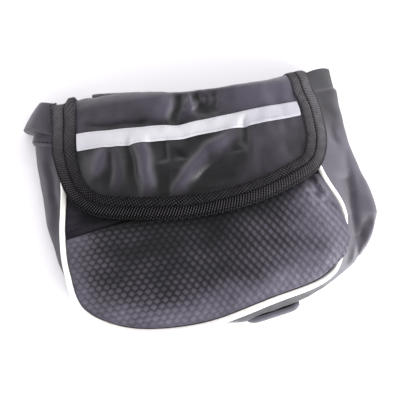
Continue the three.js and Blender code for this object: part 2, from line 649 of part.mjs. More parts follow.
const root = new THREE.Group();
root.add(meshPanel(), mouthBand(), piping(), gusset(), backPanel());
root.add(flap(), flapBinding(), reflectiveRibbon(), closurePatch());
root.add(strap("upper_strap", upperStrap), strap("lower_strap", lowerStrap));

// The origin is the middle of the bag's box, on the table.
const box = new THREE.Box3().setFromObject(root, true);
root.position.set(-(box.min.x + box.max.x) / 2, -(box.min.y + box.max.y) / 2, -box.min.z);

export default root;
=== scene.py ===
"""Looks of a small bicycle top tube bag that lies on its back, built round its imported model."""
import logging
import math
from abc import ABC, abstractmethod
from collections.abc import Callable
from dataclasses import dataclass, field
from enum import Enum

import bpy
import numpy as np
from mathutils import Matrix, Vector


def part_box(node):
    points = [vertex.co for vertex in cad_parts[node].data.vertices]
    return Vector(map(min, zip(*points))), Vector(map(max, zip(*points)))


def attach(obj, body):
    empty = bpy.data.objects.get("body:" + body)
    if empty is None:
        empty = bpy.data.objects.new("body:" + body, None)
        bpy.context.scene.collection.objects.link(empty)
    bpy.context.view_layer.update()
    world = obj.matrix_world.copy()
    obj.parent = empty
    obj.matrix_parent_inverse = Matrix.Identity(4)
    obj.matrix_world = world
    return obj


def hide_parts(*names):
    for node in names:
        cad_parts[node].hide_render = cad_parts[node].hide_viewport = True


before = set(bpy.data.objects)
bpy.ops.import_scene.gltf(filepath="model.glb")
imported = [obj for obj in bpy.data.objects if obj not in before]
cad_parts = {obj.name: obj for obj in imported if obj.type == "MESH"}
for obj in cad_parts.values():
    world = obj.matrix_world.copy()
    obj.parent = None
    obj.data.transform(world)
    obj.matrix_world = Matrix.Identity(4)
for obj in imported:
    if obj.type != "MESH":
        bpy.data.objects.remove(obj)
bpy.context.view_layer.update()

LOG = logging.getLogger("top_tube_bag")
Array = np.ndarray
MM = 0.001
BODY = "root"
NOISE_CELLS = 64
EDGE_STEP = 0.05
SLOPE_STEP = 0.5


def linear(colour: str) -> tuple[float, float, float, float]:
    """Turns an sRGB hex colour into linear values.

    Args:
        colour: Six hex digits, such as "8f8f94".

    Returns:
        Linear red, green, blue and an alpha of one.
    """
    parts = [int(colour[i:i + 2], 16) / 255 for i in (0, 2, 4)]
    red, green, blue = (c / 12.92 if c <= 0.04045 else ((c + 0.055) / 1.055) ** 2.4 for c in parts)
    return (red, green, blue, 1.0)


def ease(value: Array, start: float, end: float) -> Array:
    """Smooth step from 0 at start to 1 at end."""
    share = np.clip((np.asarray(value, float) - start) / (end - start), 0.0, 1.0)
    return share * share * (3 - 2 * share)


def noise(x: Array, y: Array, scale: tuple[float, float], seed: int) -> Array:
    """Smooth seeded gradient noise over a plane.

    Args:
        x: Places across, in millimetres.
        y: Places along, in millimetres.
        scale: Size of one swell across and along, in millimetres.
        seed: Seed of the gradients.

    Returns:
        Values from about -1 to 1.
    """
    turns = np.random.default_rng(seed).uniform(0, 2 * np.pi, (NOISE_CELLS, NOISE_CELLS))
    at_x, at_y = x / scale[0], y / scale[1]
    cell_x, cell_y = np.floor(at_x).astype(int), np.floor(at_y).astype(int)
    in_x, in_y = at_x - cell_x, at_y - cell_y

    def corner(right: int, up: int) -> Array:
        """Slope of one lattice corner at each place."""
        turn = turns[(cell_x + right) % NOISE_CELLS, (cell_y + up) % NOISE_CELLS]
        return np.cos(turn) * (in_x - right) + np.sin(turn) * (in_y - up)

    mix_x, mix_y = ease(in_x, 0, 1), ease(in_y, 0, 1)
    low = corner(0, 0) * (1 - mix_x) + corner(1, 0) * mix_x
    high = corner(0, 1) * (1 - mix_x) + corner(1, 1) * mix_x
    return 1.5 * (low * (1 - mix_y) + high * mix_y)


def unit(vectors: Array) -> Array:
    """Vectors of length one along the last axis."""
    return vectors / np.maximum(np.linalg.norm(vectors, axis=-1, keepdims=True), 1e-9)


def points(*parts: Array) -> Array:
    """Stacks coordinates into points along a new last axis."""
    return np.stack(np.broadcast_arrays(*parts), axis=-1)


def normals(grid: Array) -> Array:
    """Outward unit normals of a grid of points whose rows run round the bag and columns run down."""
    return unit(np.cross(np.gradient(grid, axis=1), np.gradient(grid, axis=0)))


def spot(x: Array, y: Array, at: tuple[float, float], size: tuple[float, float]) -> Array:
    """Round spot of strength one about a place."""
    return np.exp(-((x - at[0]) / size[0]) ** 2 - ((y - at[1]) / size[1]) ** 2)


def curve(rows: Array, at: Array) -> Array:
    """Reads rows of values on smooth curves through them.

    Args:
        rows: The values, row by row.
        at: Places counted in rows.

    Returns:
        The values at each place.
    """
    at = np.asarray(at, float)
    first = np.clip(np.floor(at).astype(int), 0, len(rows) - 2)
    f = (at - first).reshape(at.shape + (1,) * (rows.ndim - 1))
    a, b, c, d = (rows[np.clip(first + k, 0, len(rows) - 1)] for k in (-1, 0, 1, 2))
    return b + 0.5 * f * (c - a + f * (2 * a - 5 * b + 4 * c - d + f * (3 * (b - c) + d - a)))


def patch(
    left: Array, right: Array, u: Array, v: Array, bottom: Array | None = None, top: Array | None = None,
) -> Array:
    """Fills four edges with a smooth grid of places.

    Args:
        left: Places down the left edge, one for each v.
        right: Places down the right edge, one for each v.
        u: Shares across, from 0 to 1.
        v: Shares down, from 0 to 1.
        bottom: Places across the bottom edge, one for each u, or None for a straight edge.
        top: Places across the top edge, or None for a straight edge.

    Returns:
        A grid of places, across by down.
    """
    across, down = u[:, None, None], v[None, :, None]
    if top is None:
        top = left[0] + (right[0] - left[0]) * u[:, None]
    if bottom is None:
        bottom = left[-1] + (right[-1] - left[-1]) * u[:, None]
    filled = top[:, None] * (1 - down) + bottom[:, None] * down
    filled = filled + left[None] * (1 - across) + right[None] * across
    corners = (left[0] * (1 - across) + right[0] * across) * (1 - down)
    return filled - corners - (left[-1] * (1 - across) + right[-1] * across) * down


def panel_plan(
    seam: Callable[[Array], Array], left: tuple[float, float], right: tuple[float, float], u: Array, v: Array,
) -> Array:
    """Fills a panel that a seam bounds on the left, at the bottom and on the right.

    Args:
        seam: Gives the seam's places at places along the sections.
        left: Where the left side starts and ends along the sections.
        right: Where the right side starts and ends.
        u: Shares across, from 0 to 1.
        v: Shares down, from 0 to 1.

    Returns:
        A grid of places, across by down.
    """
    sides = (seam(start + (end - start) * v) for start, end in (left, right))
    return patch(*sides, u, v, seam(left[1] + (right[1] - left[1]) * u))


@dataclass(frozen=True)
class Table:
    """Rows of numbers with named columns, read on smooth curves through them."""

    columns: str
    rows: tuple[tuple[float, ...], ...]

    @property
    def last(self) -> int:
        """Place of the last row."""
        return len(self.rows) - 1

    def read(self, column: str, at: Array) -> Array:
        """Reads a column at places between rows.

        Args:
            column: Name of the column.
            at: Places counted in rows.

        Returns:
            The column's value at each place.
        """
        return curve(np.array([row[self.columns.split().index(column)] for row in self.rows]), at)


@dataclass(frozen=True)
class Fold:
    """A soft ridge or valley between two places, in shares of half the panel's width and of its height."""

    from_x: float
    from_up: float
    to_x: float
    to_up: float
    spread: float
    rise: float


SECTIONS = Table(
    "front_x front_up belly_x belly_up belly_rise back_x back_up tuck",
    (
        (-0.945, 0.99, -1.085, 1.075, 0.46, -1.0, 0.975, 0),
        (-0.947, 0.85, -1.145, 0.88, 0.42, -0.97, 0.86, 0),
        (-0.96, 0.65, -1.125, 0.65, 0.36, -0.95, 0.66, 0),
        (-1.0, 0.465, -1.1, 0.46, 0.36, -0.92, 0.47, 0),
        (-0.996, 0.305, -1.035, 0.31, 0.36, -0.885, 0.33, 0),
        (-0.913, 0.135, -0.902, 0.148, 0.4, -0.785, 0.185, 0),
        (-0.581, 0.028, -0.562, 0.05, 0.4, -0.475, 0.09, 0),
        (-0.1, 0.009, -0.07, 0.031, 0.4, 0.0, 0.066, 0),
        (0.391, 0.068, 0.43, 0.049, 0.42, 0.455, 0.1, 0),
        (0.794, 0.134, 0.88, 0.133, 0.4, 0.835, 0.17, 0.3),
        (0.985, 0.26, 1.142, 0.254, 0.34, 1.03, 0.27, 1),
        (1.0, 0.415, 1.25, 0.405, 0.34, 1.12, 0.41, 0.4),
        (0.885, 0.572, 1.18, 0.6, 0.36, 1.09, 0.59, 0),
        (0.815, 0.78, 1.133, 0.79, 0.42, 1.03, 0.79, 0),
        (0.775, 0.99, 1.12, 1.06, 0.6, 0.975, 0.975, 0),
    ),
)
FLAP_EDGE = Table(
    "x down",
    (
        (-0.95, -1), (-0.955, -0.5), (-0.97, 0), (-0.985, 0.182), (-0.995, 0.325), (-0.982, 0.525),
        (-0.912, 0.72), (-0.745, 0.875), (-0.42, 0.96), (0, 1.0), (0.37, 0.958), (0.68, 0.855),
        (0.88, 0.73), (0.965, 0.53), (0.97, 0.28), (0.955, 0.162), (0.925, 0), (0.905, -0.5), (0.895, -1),
    ),
)
RIBBON_SAG = Table("top bottom", ((0, 0), (0.035, 0.045), (0.07, 0.06), (0.04, 0.045), (0, 0)))
ROLL_ACROSS = Table("reach", ((0.72,), (1.02,), (0.4,), (0.45,), (0.95,)))
# Share of wear and painted light round the flap's edge: lighter with flatter ribs on both sides, painted
# shade along the bottom.
BINDING_WEAR_AND_LIGHT = Table("share", ((1.0,), (0.8,), (0.3,), (0,), (0,), (0.25,), (0.85,), (1.0,), (1.0,)))
PIPING_ROUND = Table("share", ((1.0,), (0.95,), (0.98,), (0.98,), (0.92,), (0.86,), (0.8,), (0.85,)))
PANEL_FOLDS = (
    Fold(-0.6, 0.15, 0.1, 0.1, 1.6, 0.8),
    Fold(-0.1, 0.42, 0.15, 0.22, 1.5, -0.6),
    Fold(0.75, 0.5, 0.85, 0.25, 1.4, 0.7),
)
FLAP_FOLDS = (
    Fold(-0.58, 0.76, -0.62, 0.66, 0.9, 0.6),
    Fold(-0.38, 0.76, -0.36, 0.65, 0.9, 0.6),
    Fold(-0.14, 0.74, -0.1, 0.64, 0.9, 0.4),
    Fold(0.5, 0.76, 0.28, 0.65, 1.1, 0.7),
    Fold(0.42, 1.0, 0.5, 0.9, 1.2, 0.5),
    Fold(-0.3, 1.02, -0.22, 0.92, 1.2, 0.5),
)
GUSSET_FOLDS = (
    Fold(1.06, 0.54, 1.09, 0.3, 0.5, -1.5),
    Fold(1.17, 0.35, 0.98, 0.2, 0.5, -0.9),
    Fold(-1.02, 0.62, -1.05, 0.42, 0.6, -0.5),
)
# Finer folds that only the finished cloth shows.
FLAP_CREASES = (
    Fold(-0.62, 0.8, -0.74, 0.67, 0.6, 1.0),
    Fold(-0.53, 0.78, -0.53, 0.59, 0.5, 0.5),
    Fold(-0.6, 0.75, -0.63, 0.62, 0.4, -0.5),
    Fold(-0.44, 0.82, -0.42, 0.59, 0.42, -1.1),
    Fold(-0.33, 0.81, -0.36, 0.58, 0.62, 1.0),
    Fold(-0.19, 0.79, -0.25, 0.55, 0.5, -1.0),
    Fold(-0.13, 0.73, -0.04, 0.67, 0.4, -0.6),
    Fold(-0.18, 0.56, 0.06, 0.7, 0.6, 1.1),
    Fold(0.02, 0.68, 0.31, 0.8, 0.5, 0.9),
    Fold(-0.04, 0.59, 0.34, 0.67, 0.7, -1.0),
    Fold(0.395, 0.83, 0.37, 0.7, 0.4, -1.1),
    Fold(-0.045, 0.99, -0.09, 0.84, 0.4, -1.2),
    Fold(-0.13, 0.98, -0.15, 0.86, 0.5, 0.5),
    Fold(0.02, 0.98, 0.035, 0.89, 0.3, 0.6),
    Fold(0.075, 0.98, 0.12, 0.87, 0.35, -1.0),
    Fold(0.22, 0.97, 0.15, 0.87, 0.4, -0.8),
    Fold(-0.72, 0.9, -0.15, 0.87, 0.4, -0.5),
    Fold(0.4, 0.95, 0.8, 0.98, 0.8, 0.5),
)
BAND_CREASES = (
    Fold(-0.95, 0.53, -0.6, 0.57, 0.3, -0.4),
    Fold(-0.95, 0.6, -0.45, 0.6, 0.35, 0.4),
    Fold(0.68, 0.6, 0.9, 0.62, 0.35, 0.45),
)
PANEL_CREASES = (
    Fold(0.72, 0.6, 0.86, 0.49, 0.35, -0.7),
    Fold(0.78, 0.57, 0.92, 0.46, 0.25, 0.45),
    Fold(0.78, 0.5, 0.92, 0.41, 0.3, -0.45),
)
GUSSET_CREASES = (
    Fold(1.115, 0.63, 1.065, 0.24, 0.26, -1.15),
    Fold(1.2, 0.66, 1.235, 0.38, 0.5, 0.7),
    Fold(1.12, 0.33, 0.99, 0.19, 0.35, 0.7),
    Fold(1.03, 0.79, 1.06, 0.71, 0.18, -0.9),
    Fold(1.1, 1.0, 1.14, 0.72, 0.6, 0.5),
    Fold(-1.09, 0.84, -1.07, 0.45, 0.5, 0.45),
    Fold(-1.03, 0.84, -1.02, 0.55, 0.35, -0.45),
)


@dataclass(frozen=True)
class BagForm:
    """The bag's form in millimetres, with its origin at the middle of its bottom seam."""

    panel_width: float = 166.0
    panel_height: float = 140.0
    seam_height: float = 15.0
    seam_tilt: float = 2.0
    crown: float = 8.0
    dome_up: float = 0.62
    dome_mouth: float = 0.9
    dome_corner: float = 2.6
    dome_fullness: float = 3.0
    fold_spread: float = 8.0
    fold_rise: float = 2.0
    crease_bend: float = 2.2
    piping: float = 3.8
    piping_sink: float = 0.6
    tuck_in: float = 2.6
    tuck_down: float = 3.6
    tuck_over: float = 1.2
    shoulder: float = 1.8
    shoulder_reach: float = 9.0
    shoulder_drop: float = 7.0
    seam_gap: float = 0.3
    cloth_wall: float = 1.2
    mesh_wall: float = 1.6
    strap_wall: float = 1.8
    flap_width: float = 162.0
    flap_drop: float = 73.5
    flap_wall: float = 1.2
    roll_reach: float = 10.0
    binding_width: float = 11.5
    binding_wall: float = 1.0
    ribbon_end_gap: float = 0.9
    closure_reach: float = 30.0
    closure_height: float = 16.0
    closure_wall: float = 2.6
    left_join: float = 3.15
    left_corner: float = 4.7
    right_corner: float = 9.5
    right_join: float = 12.0
    mouth_up: float = 0.92
    crumple_at: tuple[float, float] = (6.0, 130.0)
    crumple_size: tuple[float, float] = (13.0, 8.0)
    deepest_fold: float = 1.6
    fold_room: float = 1.3
    lift_gap: float = 8.0
    lift_run: float = 10.0

    @property
    def half_width(self) -> float:
        """Half the front panel's width."""
        return self.panel_width / 2

    @property
    def back_rise(self) -> float:
        """Height of the back panel over the surface that the straps lie on."""
        return self.strap_wall + self.seam_gap

    @property
    def flap_lift(self) -> float:
        """Height of the middle of the flap's cloth over the front."""
        return 2 * self.seam_gap + self.closure_wall + self.flap_wall / 2

    @property
    def mouth_line(self) -> float:
        """Line across the bag where the flap comes off its roll."""
        return SECTIONS.read("back_up", 0.0) * self.panel_height + self.seam_gap

    @property
    def roll_foot(self) -> float:
        """Height of the flap's seam behind the mouth."""
        return self.back_rise + self.cloth_wall / 2

    @property
    def roll_length(self) -> float:
        """Length of cloth round the roll."""
        return math.pi * (self.roll_reach + (self.seam_height + self.crown) / 2) / 2

    def fold_run(self, fold: Fold) -> tuple[float, float, float, float]:
        """Where a fold starts, and how far it runs across and up."""
        from_x, from_y = fold.from_x * self.half_width, fold.from_up * self.panel_height
        return from_x, from_y, fold.to_x * self.half_width - from_x, fold.to_up * self.panel_height - from_y

    def folds(self, table: tuple[Fold, ...], x: Array, y: Array) -> Array:
        """How far soft folds raise the cloth.

        Args:
            table: The folds.
            x: Places across.
            y: Places up.

        Returns:
            The rise at each place.
        """
        rise = np.zeros(np.broadcast(x, y).shape)
        for fold in table:
            from_x, from_y, run_x, run_y = self.fold_run(fold)
            share = ((x - from_x) * run_x + (y - from_y) * run_y) / (run_x ** 2 + run_y ** 2)
            share = np.clip(share, 0, 1)
            away = np.hypot(x - from_x - share * run_x, y - from_y - share * run_y)
            rise = rise + fold.rise * self.fold_rise * np.exp(-(away / (fold.spread * self.fold_spread)) ** 2)
        return rise

    def creases(self, table: tuple[Fold, ...], x: Array, y: Array) -> Array:
        """How far fine folds raise the cloth: bent, fading at both ends and steeper on one side.

        Args:
            table: The folds.
            x: Places across.
            y: Places up.

        Returns:
            The rise at each place.
        """
        bent_x = x + self.crease_bend * noise(x, y, (15, 13), 101)
        bent_y = y + self.crease_bend * noise(x, y, (13, 15), 102)
        rise = np.zeros(np.broadcast(x, y).shape)
        for fold in table:
            from_x, from_y, run_x, run_y = self.fold_run(fold)
            length = math.hypot(run_x, run_y)
            share = ((bent_x - from_x) * run_x + (bent_y - from_y) * run_y) / length ** 2
            away = ((bent_x - from_x) * run_y - (bent_y - from_y) * run_x) / length
            widening = 0.75 + 0.35 * share.clip(0, 1)
            reach = fold.spread * self.fold_spread * widening * (1 + 0.3 * np.tanh(away / 2))
            fade = np.exp(-(np.abs(share - 0.5) / 0.5) ** 3.5)
            rise = rise + fold.rise * self.fold_rise * fade * np.exp(-(away / reach) ** 2)
        return rise

    def front(self, x: Array, y: Array) -> Array:
        """Height of the front's outer face."""
        across = np.abs(x / self.half_width)
        up = y / self.panel_height - self.dome_up
        along = np.abs(up) / np.where(up < 0, self.dome_up, self.dome_mouth)
        out = (across ** self.dome_corner + along ** self.dome_corner) ** (1 / self.dome_corner)
        dome = self.crown * (1 - out ** self.dome_fullness)
        return self.seam_height + self.seam_tilt * x / self.half_width + dome + self.folds(PANEL_FOLDS, x, y)

    def line(self, side: str, at: Array) -> Array:
        """Plan of the front, belly or back line at places along the sections."""
        x = SECTIONS.read(side + "_x", at) * self.half_width
        return points(x, SECTIONS.read(side + "_up", at) * self.panel_height)

    def outward(self, side: str, at: Array) -> Array:
        """Direction out of the bag along one of those lines."""
        before = self.line(side, np.maximum(at - EDGE_STEP, 0))
        run = self.line(side, np.minimum(at + EDGE_STEP, SECTIONS.last)) - before
        return unit(points(run[..., 1], -run[..., 0]))

    def piping_centre(self, at: Array) -> Array:
        """Middle of the piping, which drops and passes under the panel where it is tucked in."""
        tuck = SECTIONS.read("tuck", at)
        slide = np.maximum(0, 2 * tuck - 1)
        place = self.line("front", at) - self.outward("front", at) * (self.tuck_in * slide)[..., None]
        height = self.front(place[..., 0], place[..., 1]) - self.piping_sink
        return points(place[..., 0], place[..., 1], height - self.tuck_down * np.minimum(1, 2 * tuck))

    def panel_edge(self, at: Array) -> Array:
        """The front panel's own edge in plan."""
        over = np.maximum(0, 2 * SECTIONS.read("tuck", at) - 1)
        inside = self.piping / 2 + self.seam_gap
        moved = self.tuck_over * over - inside * (1 - over)
        return self.line("front", at) + self.outward("front", at) * moved[..., None]

    def flap_edge(self, at: Array, inset: Array | float = 0.0) -> Array:
        """The flap's outer edge in its flat layout, moved in by a distance.

        Args:
            at: Places along the edge, in rows of its table.
            inset: Distance in from the edge.

        Returns:
            Places across and down the flat layout.
        """
        def line(t: Array) -> Array:
            """The edge itself."""
            down = FLAP_EDGE.read("down", t)
            length = np.where(down < 0, self.roll_length, self.flap_drop)
            return points(FLAP_EDGE.read("x", t) * self.flap_width / 2, down * length)

        run = line(np.minimum(at + EDGE_STEP, FLAP_EDGE.last)) - line(np.maximum(at - EDGE_STEP, 0))
        inward = unit(points(run[..., 1], -run[..., 0]))
        return line(at) + inward * np.asarray(inset)[..., None]

    def flap_swell(self, x: Array, y: Array) -> Array:
        """Fine folds and crumples of the flap's cloth."""
        soft = self.creases(FLAP_CREASES, x, y)
        soft = soft + 0.4 * noise(x, y, (11, 30), 3) + 0.22 * noise(x, y, (5.5, 9), 4)
        fine = 1.4 * noise(x, y, (6, 7), 8) + 0.8 * noise(x, y, (3.2, 3.6), 9)
        return soft + spot(x, y, self.crumple_at, self.crumple_size) * fine

    def flap_relief(self, x: Array, y: Array) -> Array:
        """The same folds, kept clear of the fastening under the flap."""
        low = self.closure_top()
        foot = low - self.closure_height
        over_patch = ease(np.abs(x), self.closure_reach + 6, self.closure_reach) * ease(y, foot - 4, foot)
        floor = -self.deepest_fold + self.fold_room * over_patch * ease(y, low + 5, low + 1)
        return floor + np.logaddexp(0, (self.flap_swell(x, y) - floor) * 4) / 4

    def flap_point(self, x: Array, down: Array) -> Array:
        """Middle of the flap's cloth over places in its flat layout."""
        y = self.mouth_line - np.maximum(down, 0)
        plain = self.front(x, y) + self.flap_lift + self.folds(FLAP_FOLDS, x, y)
        share = np.clip(0.5 + x / self.flap_width, 0, 1)
        reach = self.roll_reach * ROLL_ACROSS.read("reach", share * ROLL_ACROSS.last)
        turn = np.pi * (0.5 + np.minimum(down, 0) / self.roll_length)
        radius = (plain - self.roll_foot) / 2
        rolled = self.roll_foot + radius * (1 + np.sin(turn))
        return points(x, y + reach * np.cos(turn), np.where(down < 0, rolled, plain))

    def off_flap(self, flat: Array, distance: Array, creased: bool = True) -> Array:
        """Places moved off the middle of the flap's cloth.

        Args:
            flat: Places across and down the flat layout.
            distance: Distance out of the bag.
            creased: Whether the cloth's fine folds are added.

        Returns:
            The moved points.
        """
        x, down = flat[..., 0], flat[..., 1]
        across = self.flap_point(x + SLOPE_STEP, down) - self.flap_point(x - SLOPE_STEP, down)
        along = self.flap_point(x, down + SLOPE_STEP) - self.flap_point(x, down - SLOPE_STEP)
        fine = self.flap_relief(x, self.mouth_line - down) if creased else 0.0
        inward = x - self.flap_edge(np.array([0.0]))[0, 0] - self.binding_width
        off_top = (down + self.roll_length / 2) / self.shoulder_drop
        fine = fine + self.shoulder * np.exp(-(inward / self.shoulder_reach) ** 4 - off_top ** 2)
        return self.flap_point(x, down) + unit(np.cross(along, across)) * (distance + fine)[..., None]

    def closure_top(self) -> float:
        """Upper edge of the fastening under the flap."""
        rows = self.flap_edge(np.array([8.0, 10.0]), self.binding_width + self.ribbon_end_gap)[:, 1]
        return self.mouth_line - float(rows.min()) + self.closure_height

    def strap_lift(self, x: Array, y: Array, strap: "Strap") -> Array:
        """How far the gusset's foot rises over the lower strap."""
        off = np.abs((x - strap.tip_x) * math.cos(strap.lean) + (y - strap.tip_y) * math.sin(strap.lean))
        return self.back_rise * (1 - ease(off - strap.width / 2 - self.lift_gap, 0, self.lift_run))


class Link(Enum):
    """Names of the values that a material reads from a mesh."""

    CLOTH = "cloth"
    RELIEF = "relief"


class Mix(Enum):
    """How a value meets the mesh's relief in a material."""

    ADDED = "ADD"
    MULTIPLIED = "MULTIPLY"


def add(tree: bpy.types.NodeTree, kind: str, links: dict | None = None, **settings: object) -> bpy.types.Node:
    """Adds one node with its settings and links.

    Args:
        tree: The node tree of a material or of the world.
        kind: The node's type.
        links: Input name or number to a value, or to the output socket that feeds it.
        settings: Properties of the node.

    Returns:
        The node.
    """
    made = tree.nodes.new(kind)
    for name, value in settings.items():
        setattr(made, name, value)
    for name, value in (links or {}).items():
        if isinstance(value, bpy.types.NodeSocket):
            tree.links.new(value, made.inputs[name])
        else:
            made.inputs[name].default_value = value
    return made


@dataclass(frozen=True)
class Finish:
    """A finish: its name, a slot name, and what the eye sees of it, with sizes in millimetres."""

    name: str
    slot: str
    colour: str
    dark: str
    roughness: float
    sheen: float = 0.0
    specular: float = 0.5
    thread: float = 0.5
    bump: float = 0.05
    blotch: float = 14.285714

    def mottled(
        self, tree: bpy.types.NodeTree, cloth: bpy.types.NodeSocket, detail: float, low: float, high: float,
    ) -> bpy.types.NodeSocket:
        """Soft blotches of the finish's own size, from low to high.

        Args:
            tree: The material's node tree.
            cloth: Places on the cloth.
            detail: How many finer layers the blotches have.
            low: Value of the darkest blotch.
            high: Value of the lightest.

        Returns:
            The value at each place.
        """
        per_metre = 1 / (self.blotch * MM)
        swell = add(tree, "ShaderNodeTexNoise", {"Vector": cloth, "Scale": per_metre, "Detail": detail})
        span = {0: swell.outputs[0], 1: 0.3, 2: 0.7, 3: low, 4: high}
        return add(tree, "ShaderNodeMapRange", span).outputs[0]

    def on_relief(
        self, tree: bpy.types.NodeTree, value: bpy.types.NodeSocket, mix: Mix,
    ) -> bpy.types.NodeSocket:
        """A value added to the mesh's relief and kept from 0 to 1, or multiplied by it."""
        relief = add(tree, "ShaderNodeAttribute", attribute_name=Link.RELIEF.value)
        both = {0: relief.outputs[2], 1: value}
        added = mix is Mix.ADDED
        return add(tree, "ShaderNodeMath", both, operation=mix.value, use_clamp=added).outputs[0]

    def pattern(self, tree: bpy.types.NodeTree, cloth: bpy.types.NodeSocket) -> bpy.types.NodeSocket:
        """Height of the surface's fine pattern, from 0 to 1."""
        per_metre = 1 / (self.thread * MM)
        grain = add(tree, "ShaderNodeTexNoise", {"Vector": cloth, "Scale": per_metre, "Detail": 2.0})
        return grain.outputs[0]

    def shade(self, tree: bpy.types.NodeTree, cloth: bpy.types.NodeSocket) -> bpy.types.NodeSocket:
        """Share of the light colour at each place, from 0 to 1."""
        return self.mottled(tree, cloth, 3.0, 0.35, 1.0)

    def build(self) -> bpy.types.Material:
        """Makes the material.

        Returns:
            The material with its nodes.
        """
        made = bpy.data.materials.new(self.name)
        made.use_nodes = True
        tree = made.node_tree
        tree.nodes.clear()
        cloth = add(tree, "ShaderNodeUVMap", uv_map=Link.CLOTH.value).outputs[0]
        share = self.shade(tree, cloth)
        colours = {0: share, 6: linear(self.dark), 7: linear(self.colour)}
        tint = add(tree, "ShaderNodeMix", colours, data_type="RGBA")
        height = self.pattern(tree, cloth)
        span = {0: height, 3: self.roughness + 0.06, 4: self.roughness - 0.06}
        rough = add(tree, "ShaderNodeMapRange", span)
        bump = add(tree, "ShaderNodeBump", {"Strength": 1.0, "Distance": self.bump * MM, "Height": height})
        surface = add(
            tree,
            "ShaderNodeBsdfPrincipled",
            {
                "Base Color": tint.outputs[2],
                "Roughness": rough.outputs[0],
                "Sheen Weight": self.sheen,
                "Sheen Roughness": 0.4,
                "Specular IOR Level": self.specular,
                "Normal": bump.outputs[0],
            },
        )
        add(tree, "ShaderNodeOutputMaterial", {"Surface": surface.outputs[0]})
        return made


@dataclass(frozen=True)
class WovenNylon(Finish):
    """Coated nylon, plain woven: a fine even grain, with painted light on the ridges and painted shade in the
    folds.
    """

    blotch: float = 11.111111

    def shade(self, tree: bpy.types.NodeTree, cloth: bpy.types.NodeSocket) -> bpy.types.NodeSocket:
        """Painted light and shade of the folds, read from the mesh, broken up by uneven coating."""
        return self.on_relief(tree, self.mottled(tree, cloth, 4.0, -0.14, 0.14), Mix.ADDED)

    def pattern(self, tree: bpy.types.NodeTree, cloth: bpy.types.NodeSocket) -> bpy.types.NodeSocket:
        """Crossed threads, over and under."""
        turns = 2 * math.pi / (self.thread * MM)
        scaled = add(tree, "ShaderNodeVectorMath", {0: cloth, "Scale": turns}, operation="SCALE")
        split = add(tree, "ShaderNodeSeparateXYZ", {0: scaled.outputs[0]})
        warp = add(tree, "ShaderNodeMath", {0: split.outputs[0]}, operation="SINE")
        weft = add(tree, "ShaderNodeMath", {0: split.outputs[1]}, operation="SINE")
        both = add(tree, "ShaderNodeMath", {0: warp.outputs[0], 1: weft.outputs[0]}, operation="MULTIPLY")
        return add(tree, "ShaderNodeMapRange", {0: both.outputs[0], 1: -1.0, 2: 1.0}).outputs[0]


@dataclass(frozen=True)
class ReliefCloth(Finish):
    """Cloth whose modelled relief also shows in its colour: painted shade in the grooves, painted light on
    the tops.
    """

    blotch: float = 4.1666667

    def shade(self, tree: bpy.types.NodeTree, cloth: bpy.types.NodeSocket) -> bpy.types.NodeSocket:
        """The mesh's relief tone, with its painted light and shade, broken up a little by wear."""
        return self.on_relief(tree, self.mottled(tree, cloth, 3.0, 0.7, 1.0), Mix.MULTIPLIED)


@dataclass(frozen=True)
class BeadedTape(Finish):
    """Retroreflective tape: a grey film of glass beads, seen as a faint even grain with spots of wear."""

    def shade(self, tree: bpy.types.NodeTree, cloth: bpy.types.NodeSocket) -> bpy.types.NodeSocket:
        """Painted shade from the mesh, darker towards the ribbon's right end, broken up by spots of wear."""
        return self.on_relief(tree, self.mottled(tree, cloth, 3.0, -0.25, 0.1), Mix.ADDED)

    def pattern(self, tree: bpy.types.NodeTree, cloth: bpy.types.NodeSocket) -> bpy.types.NodeSocket:
        """Packed beads, drawn coarser than real ones so that they show."""
        beads = add(tree, "ShaderNodeTexVoronoi", {"Vector": cloth, "Scale": 1 / (self.thread * MM)})
        return beads.outputs[0]


# Oxford cloth with a smooth coating: nearly black and softly shiny, with painted light on the ridges and
# painted shade in the folds.
NYLON = WovenNylon(
    "coated_nylon_oxford", "nylon", "403c47", "010102",
    roughness=0.42, sheen=0.15, specular=0.37, thread=0.55, bump=0.05)
# The same cloth on the sides, where it is rubbed: it shines a little more.
SIDE_NYLON = WovenNylon(
    "rubbed_nylon_oxford", "nylon", "3d3a44", "020203",
    roughness=0.42, sheen=0.25, specular=0.5, thread=0.55, bump=0.05)
# The same cloth on the band at the mouth, its colour darkened as painted shade under the flap, and almost
# without shine.
SHADED_BAND_NYLON = WovenNylon(
    "shaded_band_nylon_oxford", "nylon", "2c2a31", "010102",
    roughness=0.65, sheen=0.03, specular=0.08, thread=0.55, bump=0.05)
# The same cloth on the back: dull and even.
BACK_NYLON = WovenNylon(
    "coated_nylon_backing", "back_nylon", "2c2b30", "242328",
    roughness=0.6, sheen=0.2, specular=0.4, thread=0.55, bump=0.05)
# Polyester cloth pressed into cells: grey, slightly shiny tops, with black painted shade in the grooves.
HONEYCOMB = ReliefCloth(
    "embossed_honeycomb_polyester", "honeycomb_cloth", "676370", "000001",
    roughness=0.45, sheen=0.15, specular=0.3, thread=0.4, bump=0.04)
# Corded ribbon: matt black, with dull grey painted highlights along the tops of its ribs.
GROSGRAIN = ReliefCloth(
    "ribbed_polyester_grosgrain", "grosgrain", "605e61", "000000",
    roughness=0.8, sheen=0.02, specular=0.02, thread=0.35, bump=0.04)
# Moulded vinyl: smooth, off-white, with a soft highlight.
VINYL = Finish(
    "moulded_white_vinyl", "piping_vinyl", "dedcd6", "d4d2cc",
    roughness=0.38, sheen=0.0, specular=0.5, thread=3.0, bump=0.02)
# Film of glass beads: light grey and even, a little darker in spots of wear, with painted shade towards the
# ribbon's right end.
TAPE = BeadedTape(
    "glass_bead_reflective_tape", "reflective_tape", "bababd", "9c9ca2",
    roughness=0.5, sheen=0.0, specular=0.5, thread=0.5, bump=0.02)
# Brushed nylon loops: a fuzzy dark grey that takes light softly from the side.
LOOP = ReliefCloth(
    "brushed_nylon_loop", "hook_and_loop", "57575f", "2b2b31",
    roughness=0.8, sheen=0.4, specular=0.3, thread=0.6, bump=0.12)
